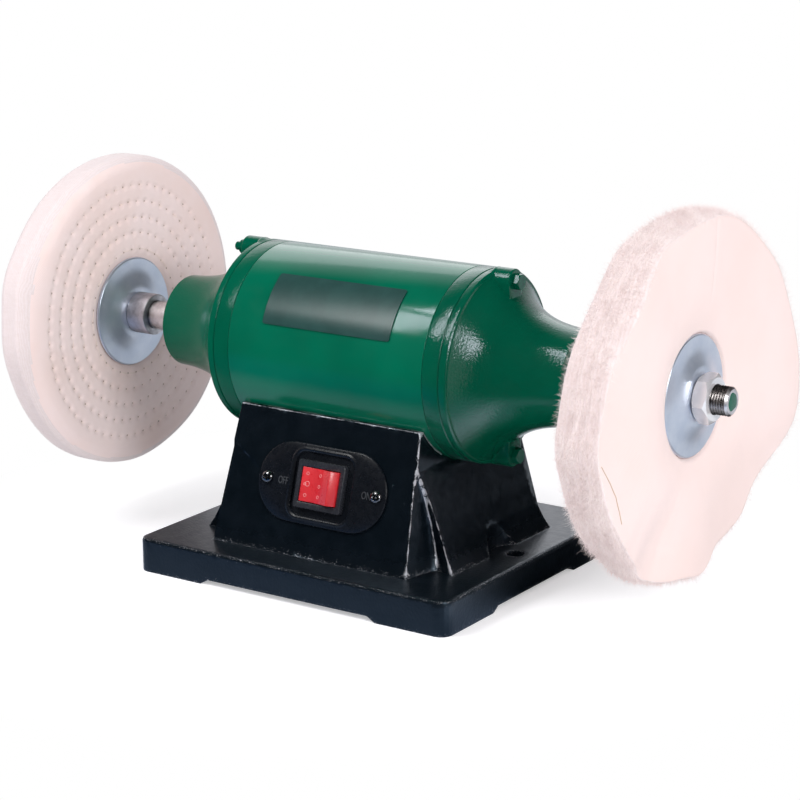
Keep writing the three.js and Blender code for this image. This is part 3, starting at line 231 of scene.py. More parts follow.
def green_enamel(name, peel_mm, peel_depth_mm, gloss, share=1.0):
    made, tree, shader = new_finish(
        name, GREEN, gloss, Specular_IOR_Level=0.5, Specular_Tint=(0.86, 0.88, 1.0, 1)
    )
    place = place_on_piece(tree)
    drift = patches(tree, place, 60, detail=2)
    # A share below 1 makes the whole green darker: the bells use it as painted shade.
    deep, pale = scaled(GREEN, 0.84 * share), scaled(GREEN, 1.1 * share)
    feed(shader, "Base Color", blend_colours(tree, drift, deep, pale))
    feed(shader, "Roughness", patches(tree, place, 9, gloss * 0.8, gloss * 1.25))
    dent(tree, shader, grain(tree, place, peel_mm, 2, 0.5), peel_depth_mm)
    return made


def duller_on_the_left(made, low, high):
    """Spray reached the left bell less, so its enamel mirrors less there."""
    tree = made.node_tree
    along = axes_of(tree, place_on_piece(tree))[0]
    level = remap(tree, along, -0.08, -0.02, low, high)
    feed(tree.nodes["Principled BSDF"], "Specular IOR Level", level)


shell_green = green_enamel("green_enamel_on_sheet", 1.1, 0.016, 0.13)
# The bells' green is 0.74 times the shell's: painted shade, since the buffs beside them keep light
# off.
bell_green = green_enamel("green_enamel_on_casting_painted_darker", 1.3, 0.12, 0.13, 0.74)
duller_on_the_left(bell_green, 0.14, 0.5)
print("made", shell_green.name, "and", bell_green.name)

# %% [markdown]
# ## Black paint on the casting
# The pedestal is sand-cast iron under thick black paint, smooth enough to shine, while the base
# keeps the sandy skin of its mould. Along some edges the paint is thin or chipped and bare metal
# shows as fine silver specks. The same specks also stand for the glints that the rounded edges
# catch, as painted highlights. Near the foot and the base's edges they are painted glints of the
# sandy skin. The mesh carries an attribute, edge_wear, which is 1 on such an edge and fades out
# over a few millimetres. A fine noise is cut off at a level that it lowers.

# %% Black paint with worn edges and painted glints
def black_paint():
    made, tree, shader = new_finish(
        "black_paint_on_iron", (0.0028, 0.0055, 0.0085), 0.24, Specular_Tint=(0.6, 0.8, 1.0, 1)
    )
    place = place_on_piece(tree)
    wear_and_glint_weight = add_node(tree, "ShaderNodeAttribute", attribute_name="edge_wear").outputs["Fac"]
    on_base = remap(tree, axes_of(tree, place)[2], 0.022, 0.03, 1.0, 0.1)
    # Near the foot and the base's edges more specks come through: painted glints of the sandy skin.
    painted_glints = calculate(tree, "MULTIPLY", calculate(tree, "MULTIPLY", on_base, wear_and_glint_weight), 0.27)
    on_edge = calculate(tree, "POWER", wear_and_glint_weight, 7.0)
    wear_and_glints = calculate(tree, "MULTIPLY_ADD", on_edge, 0.54, painted_glints)
    limit = calculate(tree, "SUBTRACT", 0.82, wear_and_glints)
    # The silver specks are worn paint and painted glints in one.
    chips_and_glints = calculate(tree, "GREATER_THAN", grain(tree, place, 0.6, 3, 0.6), limit)
    cloud = remap(tree, grain(tree, place, 14, 3), 0.35, 0.7)
    paint = blend_colours(tree, cloud, (0.0022, 0.0046, 0.0072), (0.004, 0.007, 0.0105))
    feed(shader, "Base Color", blend_colours(tree, chips_and_glints, paint, (0.62, 0.64, 0.68)))
    feed(shader, "Metallic", calculate(tree, "MULTIPLY", chips_and_glints, 0.35))
    gloss = patches(tree, place, 5, 0.2, 0.26)
    feed(shader, "Roughness", calculate(tree, "MULTIPLY_ADD", on_base, 0.1, gloss))
    sand = calculate(tree, "MULTIPLY", grain(tree, place, 1.4, 2, 0.5), on_base)
    skin = dent(tree, shader, sand, 0.15)
    dent(tree, shader, grain(tree, place, 9, 2), 0.12, 1.0, skin)
    return made


casting_black = black_paint()
print("made", casting_black.name)

# %% [markdown]
# ## Bright zinc and turned steel
# The pressed flanges are zinc plated: a cool, slightly blue mirror with a soft bloom. The
# sleeves and the arbor are plain turned steel, so they carry fine tool lines round the axis.
# Those lines are a wave of the distance along X, and X only.

# %% Plated and turned metals
def bright_zinc():
    made, tree, shader = new_finish("bright_zinc", (0.66, 0.71, 0.79), 0.34, 0.8)
    place = place_on_piece(tree)
    bloom = remap(tree, grain(tree, place, 11, 3), 0.3, 0.72)
    colour = blend_colours(tree, bloom, (0.64, 0.71, 0.83), (0.73, 0.79, 0.89))
    feed(shader, "Base Color", colour)
    feed(shader, "Roughness", patches(tree, place, 9, 0.3, 0.38))
    dent(tree, shader, grain(tree, place, 1.6, 2), 0.002)
    return made


def turned_steel(name, colour, roughness, pitch_mm, depth_mm):
    made, tree, shader = new_finish(name, colour, roughness, 1.0)
    place = place_on_piece(tree)
    stain = remap(tree, grain(tree, place, 5, 4), 0.35, 0.7)
    feed(shader, "Base Color", blend_colours(tree, stain, colour, scaled(colour, 0.72)))
    feed(shader, "Roughness", patches(tree, place, 2, roughness * 0.8, roughness * 1.3))
    dent(tree, shader, ridges(tree, axes_of(tree, place)[0], pitch_mm), depth_mm)
    return made


zinc = bright_zinc()
sleeve_steel = turned_steel("turned_steel", (0.9, 0.86, 0.87), 0.34, 0.45, 0.004)
collar_steel = turned_steel("machined_collar", (0.82, 0.79, 0.83), 0.46, 0.45, 0.002)
thread_steel = turned_steel("threaded_steel", (0.4, 0.37, 0.36), 0.28, 0.3, 0.002)
screw_black = turned_steel("blackened_steel", (0.1, 0.1, 0.11), 0.25, 0.4, 0.002)
print("made five metals")

# %% [markdown]
# ## Moulded plastic
# The switch plate is black moulded plastic with a fine spark-eroded grain, and the rocker is a
# clear red under a harder gloss. The same recipe, with a finer or coarser grain, serves for
# rubber, for the plated nuts and for the bare label.

# %% Plastics and rubber
def moulded(name, colour, roughness, grain_mm=0.35, depth_mm=0.006, contrast=1.0, **constants):
    made, tree, shader = new_finish(name, colour, roughness, **constants)
    place = place_on_piece(tree)
    pale = tuple(min(1.0, 1.18 * c + 0.001) for c in colour)
    feed(shader, "Base Color", blend_colours(tree, patches(tree, place, 12), colour, pale))
    low, high = roughness * (1 - 0.15 * contrast), roughness * (1 + 0.2 * contrast)
    feed(shader, "Roughness", patches(tree, place, 3, low, high))
    dent(tree, shader, grain(tree, place, grain_mm, 2), depth_mm)
    return made


plate_plastic = moulded("black_moulded_plastic", (0.0045, 0.0062, 0.0095), 0.28)
rocker_red = moulded(
    "red_rocker_plastic", (0.6, 0.014, 0.022), 0.3, 1.2, 0.002, Coat_Weight=0.6, Coat_Roughness=0.28
)
mark_pink = moulded("moulded_marks", (0.78, 0.25, 0.25), 0.35, 0.3, 0.002)
letter_grey = moulded("moulded_letters", (0.05, 0.055, 0.062), 0.3, 0.3, 0.003)
black_rubber = moulded("black_rubber", (0.012, 0.012, 0.012), 0.65, 0.5, 0.02)
pale_plastic = moulded("grey_moulded_plastic", (0.55, 0.56, 0.54), 0.4)
label_green = moulded("bare_label", (0.014, 0.056, 0.05), 0.26, 0.5, 0.0004, 0.1)
nut_zinc = moulded("bright_nut", (0.84, 0.84, 0.87), 0.22, 0.8, 0.002, Metallic=0.55)
print("made", plate_plastic.name, "and its relatives")

# %% [markdown]
# ## Cotton cloth
# Both buffs are stacks of plain woven cotton. A plain weave is two sets of ridges at right
# angles, half a millimetre apart, that take turns to lie on top. Two sine waves of Y and Z make
# the ridges, since each disc of cloth is flat across the arbor. Sheen gives the soft pale edge of
# a fuzzy surface. The rim shows the cut edges of some forty layers, so there the pattern is
# fine streaks that run round the disc, with darker gaps.

# %% Woven face and frayed rim
WEAVE_PITCH = 0.55


def woven_ridges(tree, place):
    """Two threads make one full wave: one lies over, the next one under."""
    across = axes_of(tree, place)
    warp, weft = (ridges(tree, across[i], 2 * WEAVE_PITCH) for i in (1, 2))
    return calculate(tree, "MULTIPLY", warp, weft)


def cotton(name, pale, deep, cloud_mm, crumple_mm, crumple_depth):
    made, tree, shader = new_finish(name, pale, 0.9, Sheen_Weight=0.25, Sheen_Roughness=0.5)
    place = place_on_piece(tree)
    cloud = remap(tree, grain(tree, place, cloud_mm, 3), 0.32, 0.72)
    slub = remap(tree, grain(tree, place, 1.4, 4, 0.65), 0.45, 0.8, 0.0, 0.35)
    share = calculate(tree, "MAXIMUM", cloud, slub)
    feed(shader, "Base Color", blend_colours(tree, share, pale, deep))
    weave = dent(tree, shader, woven_ridges(tree, place), 0.05, 0.7)
    dent(tree, shader, grain(tree, place, crumple_mm, 3), crumple_depth, 1.0, weave)
    return made


sewn_cotton = cotton("sewn_cotton", (0.92, 0.77, 0.74), (0.89, 0.715, 0.665), 45, 12, 0.5)
loose_cotton = cotton("loose_cotton", (0.925, 0.772, 0.735), (0.905, 0.742, 0.695), 60, 26, 0.5)
print("made", sewn_cotton.name, "and", loose_cotton.name)


# %% Layered rim of a buff
def layered_rim(name, pale, deep, layer_mm, depth_mm):
    made, tree, shader = new_finish(name, pale, 0.95, Sheen_Weight=0.35, Sheen_Roughness=0.5)
    straight = place_on_piece(tree)
    wander = grain(tree, straight, 18, 3)
    bent = calculate(tree, "MULTIPLY_ADD", wander, 0.006, axes_of(tree, straight)[0])
    layer = calculate(tree, "MULTIPLY", ridges(tree, bent, layer_mm), 0.35)
    tuft = grain(tree, place_on_piece(tree, (0.35, 1, 1)), 1.6, 4, 0.7)
    height = calculate(tree, "MULTIPLY_ADD", tuft, 2.2, layer)
    # Colour follows the bump: deep where it is low. These are the layers' brownish streaks, and
    # also painted shade in the gaps between them.
    share = remap(tree, height, 0.55, 1.75)
    feed(shader, "Base Color", blend_colours(tree, share, deep, pale))
    dent(tree, shader, height, depth_mm)
    return made


sewn_rim = layered_rim("sewn_rim", (0.835, 0.74, 0.735), (0.79, 0.685, 0.665), 1.1, 0.1)
loose_rim = layered_rim("loose_rim", (0.9, 0.8, 0.79), (0.84, 0.73, 0.7), 2.4, 0.05)
thread_pale = moulded("sewing_thread", (0.8, 0.68, 0.6), 0.85, 0.3, 0.02)
thread_gold = moulded("gold_edge_thread", (0.4, 0.26, 0.1), 0.8, 0.3, 0.02)
# Painted shade for the stitches: a dark disc in each needle hole and a paler one in its dimple.
hole_shade = moulded("needle_hole_shade", (0.45, 0.33, 0.28), 0.95, 0.4, 0.02)
painted_dimple_shade = moulded("stitch_dimple", (0.82, 0.68, 0.64), 0.95, 0.4, 0.02)
print("made", sewn_rim.name, "and", loose_rim.name)

# %% [markdown]
# ## Helpers for meshes
# Nearly every visible part of this machine is turned on a lathe, so one helper does most of the
# work: it takes an outline of (place along the arbor, radius) pairs and sweeps it round X.
# Sharp corners of the outline are rounded first. No real edge is perfectly sharp, and the thin
# highlight along a rounded edge is what makes a rendered part look solid.

# %% Make an object from points and faces
def shade_by_angle(mesh, degrees):
    mesh.polygons.foreach_set("use_smooth", [True] * len(mesh.polygons))
    mesh.set_sharp_from_angle(angle=math.radians(degrees))


def make_piece(name, points, faces, finish, sharp_degrees=35.0):
    mesh = bpy.data.meshes.new(name)
    mesh.from_pydata([Vector(p) * MM for p in points], [], faces)
    work = bmesh.new()
    work.from_mesh(mesh)
    bmesh.ops.remove_doubles(work, verts=work.verts, dist=1e-7)
    bmesh.ops.recalc_face_normals(work, faces=work.faces)
    work.to_mesh(mesh)
    work.free()
    mesh.materials.append(finish)
    shade_by_angle(mesh, sharp_degrees)
    return put(name, mesh)


def settle(piece, body, slot, *nodes):
    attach(piece, body)
    if nodes:
        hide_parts(*nodes)
    print(piece.name, "-", len(piece.data.polygons), "faces, rides on", body)


# %% Round the corners of an outline
def rounded(outline, radius, steps=4, closed=True):
    """Each corner that turns by more than 20 degrees becomes a short curve."""
    count = len(outline)
    made = []
    for i, corner in enumerate(outline):
        here = Vector(corner)
        to_before, to_after = Vector(outline[i - 1]) - here, Vector(outline[(i + 1) % count]) - here
        end = not closed and i in (0, count - 1)
        plain = end or min(to_before.length, to_after.length) < 1e-6
        turn = 0.0 if plain else math.pi - to_before.angle(to_after)
        if turn < math.radians(20):
            made.append(tuple(here))
            continue
        reach = min(radius * math.tan(turn / 2), to_before.length * 0.45, to_after.length * 0.45)
        start = here + to_before.normalized() * reach
        stop = here + to_after.normalized() * reach
        for t in (k / steps for k in range(steps + 1)):
            made.append(tuple(start * (1 - t) ** 2 + here * 2 * t * (1 - t) + stop * t * t))
    return made


# %% Turn an outline round the arbor
def circle(count):
    """The angles of one turn in equal steps."""
    return [2 * math.pi * k / count for k in range(count)]


def ring(radius, z, count, width=1.0):
    return [(width * radius * math.cos(a), radius * math.sin(a), z) for a in circle(count)]


def ring_faces(rings, count, closed=True):
    """Quads between rings of points; closed joins the last ring to the first as well."""
    faces = []
    for r in range(rings if closed else rings - 1):
        here, there = r * count, ((r + 1) % rings) * count
        for k in range(count):
            n = (k + 1) % count
            faces.append((here + k, here + n, there + n, there + k))
    return faces


def around_arbor(along, radius, angle):
    """Angle 0 is straight up and grows towards the front."""
    return (along, -radius * math.sin(angle), AXIS_HEIGHT + radius * math.cos(angle))


def turned(outline, angles, closed=True, rule=None):
    """An outline swept round X; rule(along, radius, angle) gives a point's new along and radius."""
    points = []
    for along, radius in outline:
        for angle in angles:
            place = rule(along, radius, angle) if rule else (along, radius)
            points.append(around_arbor(*place, angle))
    return points, ring_faces(len(outline), len(angles), closed)


def mirrored(points):
    return [(-x, -y, z) for x, y, z in points]


print("lathe helpers are ready")

# %% [markdown]
# ## Motor shell
# The shell is a rolled and welded tube, cut square at both ends. Its outline is a plain
# rectangle with small radii. The bells start 0.15 mm further out, which is the real seam.

# %% Turn the motor shell
inner = SHELL_RADIUS - SHELL_WALL
shell_outline = [(-SHELL_HALF, inner), (-SHELL_HALF, SHELL_RADIUS)]
shell_outline += [(-x, r) for x, r in reversed(shell_outline)]
shell = turned(rounded(shell_outline, 0.35), circle(192))
settle(make_piece("motor_shell_skin", *shell, shell_green), "housing", "green_paint", "motor_shell")

# %% [markdown]
# ## End bells
# Each bell is a casting: a skirt with a fine groove, a rim, and a trumpet that sweeps down to
# the bearing nose. Two bosses grow out of the trumpet to take the through-bolts. A fillet joins
# boss and trumpet in the real casting. Here the bell's radius is worked out for each place and
# angle as the larger of trumpet and boss, with a soft maximum that rounds the corner between
# them, and the angles are closer together near the bosses.

# %% Outline of a bell
SEAM, SKIRT_RADIUS = 0.15, 47.5
BEARING_RADIUS, BEARING_START, SEAL_RADIUS, SEAL_DEPTH = 20.3, 108.0, 9.4, 4.5


def flare(steps=30):
    """The trumpet as one Bezier curve, steep behind the rim and almost level at the nose."""
    start, end = Vector((BELL_RIM, SHELL_RADIUS - 2)), Vector((NOSE_END - 1.2, NOSE_RADIUS))
    run, drop = end.x - start.x, start.y - end.y
    first = Vector((start.x + run * 0.18, start.y - drop * 0.48))
    second = Vector((start.x + run * 0.40, start.y - drop * 0.97))
    knots = [v.to_3d() for v in (start, first, second, end)]
    return [(p.x, p.y) for p in geometry.interpolate_bezier(*knots, steps)]


def bell_outline():
    skirt = [(SHELL_HALF + SEAM, SKIRT_RADIUS), (SHELL_HALF + SEAM, SHELL_RADIUS)]
    groove = [
        (GROOVE_PLACE - 0.5, SHELL_RADIUS),
        (GROOVE_PLACE, SHELL_RADIUS - GROOVE_DEPTH),
        (GROOVE_PLACE + 0.5, SHELL_RADIUS),
    ]
    rim = [(BELL_RIM - 0.9, SHELL_RADIUS), (BELL_RIM, SHELL_RADIUS - 0.9)]
    sweep = flare()
    seal = NOSE_END - SEAL_DEPTH
    nose = [(NOSE_END, NOSE_RADIUS - 1.2), (NOSE_END, SEAL_RADIUS), (seal, SEAL_RADIUS)]
    bore = [(seal, BEARING_RADIUS), (BEARING_START, BEARING_RADIUS), (BELL_RIM - 2, SKIRT_RADIUS)]
    corners = rounded(skirt + groove + rim + sweep[:1], 0.45, 3, closed=False)
    tail = rounded([sweep[-1]] + nose + bore + skirt[:1], 0.5, 3, closed=False)
    return corners[:-1] + sweep[:-1] + tail[:-1]


def dense_outline(outline, start, end, step):
    """More points on the outer side between two places, where the bosses need them."""
    made = []
    for (x0, r0), (x1, r1) in zip(outline, outline[1:] + outline[:1]):
        made.append((x0, r0))
        inside = start < (x0 + x1) / 2 < end and min(r0, r1) > 30
        parts = max(1, math.ceil(math.hypot(x1 - x0, r1 - r0) / step)) if inside else 1
        made += [(x0 + (x1 - x0) * k / parts, r0 + (r1 - r0) * k / parts) for k in range(1, parts)]
    return made


BOSS_FROM, BOSS_TO = BELL_RIM - 1.2, LUG_END + 8
trumpet = dense_outline(bell_outline(), BOSS_FROM, BOSS_TO, 0.45)
print("bell outline has", len(trumpet), "points")


# %% Let the bolt bosses grow out of the trumpet
FILLET = 2.4


def boss_reach(along, angle):
    """Radius of the boss surface at this place and angle, and a very low value away from it."""
    off = math.asin(max(-1.0, min(1.0, math.sin(angle))))
    sideways = BOLT_CIRCLE * math.sin(off)
    if abs(sideways) < LUG_RADIUS:
        reach = BOLT_CIRCLE * math.cos(off) + math.sqrt(LUG_RADIUS ** 2 - sideways ** 2)
    else:
        reach = BOLT_CIRCLE - 6 * (abs(sideways) - LUG_RADIUS) / 0.5
    past = along - (LUG_END - 1.0)
    if past > 0:
        reach -= 1.0 - math.sqrt(max(0.0, 1.0 - min(past, 1.0) ** 2)) + 40 * max(0.0, past - 1.0)
    return reach


def bell_point(along, radius, angle):
    if radius < 30 or not BOSS_FROM <= along <= BOSS_TO:
        return along, radius
    boss = boss_reach(along, angle)
    closeness = max(FILLET - abs(radius - boss), 0.0) / FILLET
    return along, max(radius, boss) + closeness ** 2 * FILLET / 4


def bell_angles():
    near = [math.radians(-13 + 26 * k / 64) for k in range(65)]
    rest = [math.radians(13 + 154 * k / 77) for k in range(1, 77)]
    half = near + rest
    return half + [a + math.pi for a in half]


bell_points, bell_faces = turned(trumpet, bell_angles(), rule=bell_point)
for side, points in (("right", bell_points), ("left", mirrored(bell_points))):
    bell = make_piece(f"end_bell_skin_{side}", points, bell_faces, bell_green, 40)
    settle(bell, "housing", "green_paint", f"end_bell_{side}")

# %% [markdown]
# ## Hexagons
# A machined nut or bolt head is a hexagonal bar with its end turned to a shallow cone. Where the
# cone meets the six flats it leaves six curved lines. The helper finds them directly: at each
# angle the bar's radius is known, and the cone says how high the side may reach there.

# %% Shape a hexagon head or nut
def close_rings(rings, hollow):
    """Joins rings in order; a hollow shape closes on itself and a solid one gets two centres."""
    count = len(rings[0])
    points = [p for one in rings for p in one]
    faces = ring_faces(len(rings), count, hollow)
    for r in () if hollow else (0, len(rings) - 1):
        points.append(tuple(sum(p[i] for p in rings[r]) / count for i in range(3)))
        for k in range(count):
            faces.append((r * count + k, r * count + (k + 1) % count, len(points) - 1))
    return points, faces


def hexagon(across_flats, height, chamfer, bore=0.0, steps=72, both_ends=False):
    """Points and faces of a hexagon standing on z = 0 with its axis along z."""
    flat = across_flats / 2
    face = flat * 0.96
    slope = chamfer / (flat / math.cos(math.pi / 6) - face)
    sides = []
    for angle in circle(steps):
        reach = flat / math.cos((angle + math.pi / 6) % (math.pi / 3) - math.pi / 6)
        fall = slope * max(0.0, reach - face)
        bottom = ((face, 0.0), (reach, fall)) if both_ends else ((reach - 0.2, 0.0), (reach, 0.2))
        side = (*bottom, (reach, height - fall), (face, height))
        sides.append([(r * math.cos(angle), r * math.sin(angle), z) for r, z in side])
    rings = [list(level) for level in zip(*sides)]
    if bore:
        rings += [ring(bore, height, steps), ring(bore, 0.0, steps)]
    return close_rings(rings, bool(bore))


def stood(points, matrix):
    return [tuple(matrix @ Vector(p)) for p in points]


def merged(*shapes):
    points, faces = [], []
    for more_points, more_faces in shapes:
        start = len(points)
        points += more_points
        faces += [tuple(i + start for i in face) for face in more_faces]
    return points, faces


along_x = Matrix.Rotation(math.pi / 2, 4, "Y")
print("hexagon helper is ready")

# %% [markdown]
# ## Through-bolts
# Two long bolts clamp the bells to the shell. Their heads show on the right and their nuts, with
# a short thread, on the left. They were sprayed with the rest, so they are green too. Most of
# the bolt is inside the motor, and it is modelled all the same, because the CAD solid is.

# %% Make the through-bolts and their nuts
HEAD_FLATS, HEAD_HEIGHT, BOLT_RADIUS, BOLT_TIP = 8, 4, 2.5, -98.6


def bar(radius, start, end, steps=24, chamfer=0.3):
    low, high = (start, radius - chamfer), (end, radius - chamfer)
    outline = [low, (start + chamfer, radius), (end - chamfer, radius), high]
    rings = [[(x, r * math.cos(a), r * math.sin(a)) for a in circle(steps)] for x, r in outline]
    return close_rings(rings, False)


def bolt_at(lift):
    head, head_faces = hexagon(HEAD_FLATS, HEAD_HEIGHT, 0.8, steps=48)
    placed = stood(head, lift @ Matrix.Translation((LUG_END - 0.1, 0, 0)) @ along_x)
    rod, rod_faces = bar(BOLT_RADIUS, BOLT_TIP, LUG_END + 0.4)
    return merged((stood(rod, lift), rod_faces), (placed, head_faces))


def bolt_nut_at(lift):
    points, faces = hexagon(HEAD_FLATS, HEAD_HEIGHT, 0.8, BOLT_RADIUS + 0.3, steps=48)
    turn = Matrix.Translation((-LUG_END + 0.1, 0, 0)) @ along_x.inverted()
    return stood(points, lift @ turn), faces


for name, height in (("top", BOLT_CIRCLE), ("bottom", -BOLT_CIRCLE)):
    lift = Matrix.Translation((0, 0, AXIS_HEIGHT + height))
    bolt = make_piece(f"through_bolt_{name}", *bolt_at(lift), bell_green)
    settle(bolt, "housing", "green_paint", f"tie_bolt_{name}")
    bolt_nut = make_piece(f"through_bolt_nut_{name}", *bolt_nut_at(lift), bell_green)
    settle(bolt_nut, "housing", "green_paint", f"tie_nut_{name}")

# %% [markdown]
# ## Bare label
# A thin dark green label is bent round the front of the shell. It carries no words here. A sheet
# is a strip of the shell's cylinder with a little thickness and rounded corners, so its outline
# is drawn flat first, as (length, arc) pairs, and then rolled onto the shell.

# %% Roll the label onto the shell
LABEL_WIDTH, LABEL_ARC, LABEL_CORNER = 84.8, 31.4, 1.2
LABEL_MIDDLE = math.radians((36.2 + 69.5) / 2)
LABEL_BACK, LABEL_FACE = 0.3, 0.78


def grid_inside(width, height, radius, columns, rows):
    """A grid whose border follows a rounded box, so that it can be bent smoothly."""
    points, faces = [], []
    for r in range(rows + 1):
        for c in range(columns + 1):
            x, y = (c / columns - 0.5) * width, (r / rows - 0.5) * height
            ex, ey = max(abs(x) - (width / 2 - radius), 0), max(abs(y) - (height / 2 - radius), 0)
            far = math.hypot(ex, ey)
            if far > radius:
                x -= math.copysign(ex * (1 - radius / far), x)
                y -= math.copysign(ey * (1 - radius / far), y)
            points.append((x, y))
            if r < rows and c < columns:
                a = r * (columns + 1) + c
                faces.append((a, a + 1, a + columns + 2, a + columns + 1))
    return points, faces


def border_of(columns, rows):
    """The numbers of a grid's border points, in order round it."""
    wide = columns + 1
    last = wide * (rows + 1) - 1
    found = list(range(wide)) + [columns + wide * r for r in range(1, rows + 1)]
    return found + [last - i for i in range(1, wide)] + [wide * r for r in range(rows - 1, 0, -1)]


def rolled_label(columns=60, rows=40):
    flat, front = grid_inside(LABEL_WIDTH, LABEL_ARC, LABEL_CORNER, columns, rows)
    points = [
        around_arbor(x, SHELL_RADIUS + level, LABEL_MIDDLE - arc / SHELL_RADIUS)
        for level in (LABEL_BACK, LABEL_FACE) for x, arc in flat
    ]
    count = len(flat)
    back = [tuple(i + count for i in face) for face in front]
    border = border_of(columns, rows)
    walls = [(a, b, count + b, count + a) for a, b in zip(border, border[1:] + border[:1])]
    return points, front + back + walls


label = make_piece("bare_label", *rolled_label(), label_green, 30)
settle(label, "housing", "nameplate_green", "nameplate")

# %% [markdown]
# ## Arbor shaft
# The arbor is one bar: rotor seat in the middle, bearing journals, and a 16 mm thread at each
# end. A thread is a rule, so Geometry Nodes draw it. A grid of points is rolled into a tube, and
# each point's radius is lowered by a triangle wave of its turn and its place along X. One pitch
# of travel for each turn makes the crest a true helix. Two tapers let the thread run out.

# %% Start and end of every rule
def new_rule(name, *sockets):
    """An empty tree with named inputs, given as (name, kind), and the sockets they arrive by."""
    tree = bpy.data.node_groups.new(name, "GeometryNodeTree")
    for label, kind in sockets:
        tree.interface.new_socket(name=label, in_out="INPUT", socket_type="NodeSocket" + kind)
    tree.interface.new_socket(name="Mesh", in_out="OUTPUT", socket_type="NodeSocketGeometry")
    return tree, add_node(tree, "NodeGroupInput").outputs


def real_mesh(tree, mesh):
    return add_node(tree, "GeometryNodeRealizeInstances", {0: mesh}).outputs[0]


def painted(tree, mesh, finish, **choice):
    inputs = {"Geometry": mesh, **choice, "Material": finish}
    return add_node(tree, "GeometryNodeSetMaterial", inputs).outputs[0]


# %% Rule for a threaded bar
def thread_rule():
    tree, given = new_rule(
        "thread_rule", ("Radius", "Float"), ("Depth", "Float"), ("Pitch", "Float"),
        ("Start", "Float"), ("Length", "Float"), ("Hand", "Float"), ("Finish", "Material"),
    )
    grid = {"Size X": 1.0, "Size Y": 1.0, "Vertices X": 97, "Vertices Y": 41}
    sheet = add_node(tree, "GeometryNodeMeshGrid", grid).outputs[0]
    spot = axes_of(tree, add_node(tree, "GeometryNodeInputPosition").outputs[0])
    along, turn = (calculate(tree, "ADD", spot[i], 0.5) for i in (0, 1))
    travel = calculate(tree, "MULTIPLY", along, given["Length"])
    turns = calculate(tree, "DIVIDE", travel, given["Pitch"])
    phase = calculate(tree, "ADD", turns, calculate(tree, "MULTIPLY", turn, given["Hand"]))
    wave = calculate(tree, "MULTIPLY", calculate(tree, "PINGPONG", phase, 0.5), 2.0)
    edge = calculate(tree, "MINIMUM", along, calculate(tree, "SUBTRACT", 1.0, along))
    cut = calculate(tree, "MULTIPLY", calculate(tree, "MULTIPLY", wave, given["Depth"]),
                    remap(tree, edge, 0.0, 0.06))
    radius = calculate(tree, "SUBTRACT", given["Radius"], cut)
    angle = calculate(tree, "MULTIPLY", turn, 2 * math.pi)
    sideways, upwards = (
        calculate(tree, "MULTIPLY", radius, calculate(tree, part, angle))
        for part in ("SINE", "COSINE")
    )
    place = vector_of(
        tree, calculate(tree, "ADD", travel, given["Start"]), sideways,
        calculate(tree, "ADD", upwards, AXIS_HEIGHT * MM),
    )
    moved = {"Geometry": sheet, "Position": place}
    rolled = add_node(tree, "GeometryNodeSetPosition", moved).outputs[0]
    welded = add_node(tree, "GeometryNodeMergeByDistance", {0: rolled, "Distance": 1e-6}).outputs[0]
    add_node(tree, "NodeGroupOutput", {0: painted(tree, real_mesh(tree, welded), given["Finish"])})
    return tree


# %% Run a rule and keep a plain mesh
def run_rule(name, tree, values, start_mesh=None):
    """A rule's result as a plain object; the modifier is gone before anything rides on a body."""
    carrier = put(name + "_rule", start_mesh or bpy.data.meshes.new(name + "_rule"))
    modifier = carrier.modifiers.new("rule", "NODES")
    modifier.node_group = tree
    for item in tree.interface.items_tree:
        if item.in_out == "INPUT" and item.name in values:
            modifier[item.identifier] = values[item.name]
    mesh = plain_mesh(carrier)
    mesh.name = name
    return put(name, mesh)


def plain_mesh(carrier):
    """What an object looks like with its modifiers or its letters, after which it is removed."""
    seen = carrier.evaluated_get(bpy.context.evaluated_depsgraph_get())
    mesh = bpy.data.meshes.new_from_object(seen)
    bpy.data.objects.remove(carrier)
    return mesh


def joined(name, *objects):
    """One object from several plain ones, with their materials kept."""
    whole = bmesh.new()
    finishes = []
    for one in objects:
        first = len(whole.faces)
        whole.from_mesh(one.data)
        whole.faces.ensure_lookup_table()
        for face in whole.faces[first:]:
            finish = one.data.materials[face.material_index]
            if finish not in finishes:
                finishes.append(finish)
            face.material_index = finishes.index(finish)
    mesh = bpy.data.meshes.new(name)
    whole.to_mesh(mesh)
    whole.free()
    for finish in finishes:
        mesh.materials.append(finish)
    for one in objects:
        bpy.data.objects.remove(one)
    return put(name, mesh)


# %% Cut the two threads
PITCH, THREAD_DEPTH, THREAD_LENGTH, TIP = 1.5, 0.85, 13.0, 1.2


def turn_outwards(mesh):
    """A rolled sheet may come out inside out, so its faces are checked against the arbor's axis."""
    work = bmesh.new()
    work.from_mesh(mesh)
    bmesh.ops.recalc_face_normals(work, faces=work.faces)
    middles = [(f.normal, f.calc_center_median()) for f in work.faces]
    outwards = sum(n.y * m.y + n.z * (m.z - AXIS_HEIGHT * MM) for n, m in middles)
    if outwards < 0:
        bmesh.ops.reverse_faces(work, faces=work.faces)
    work.to_mesh(mesh)
    work.free()
    shade_by_angle(mesh, 50)


THREAD_START = SHAFT_END - TIP - THREAD_LENGTH
thread_tree = thread_rule()
threads = []
for name, start, hand in (("right", THREAD_START, -1.0), ("left", TIP - SHAFT_END, 1.0)):
    values = {
        "Radius": ARBOR_RADIUS * MM, "Depth": THREAD_DEPTH * MM, "Pitch": PITCH * MM,
        "Start": start * MM, "Length": THREAD_LENGTH * MM, "Hand": hand, "Finish": thread_steel,
    }
    thread = run_rule("thread_" + name, thread_tree, values)
    turn_outwards(thread.data)
    threads.append(thread)
    print(thread.name, "-", len(thread.data.polygons), "faces")


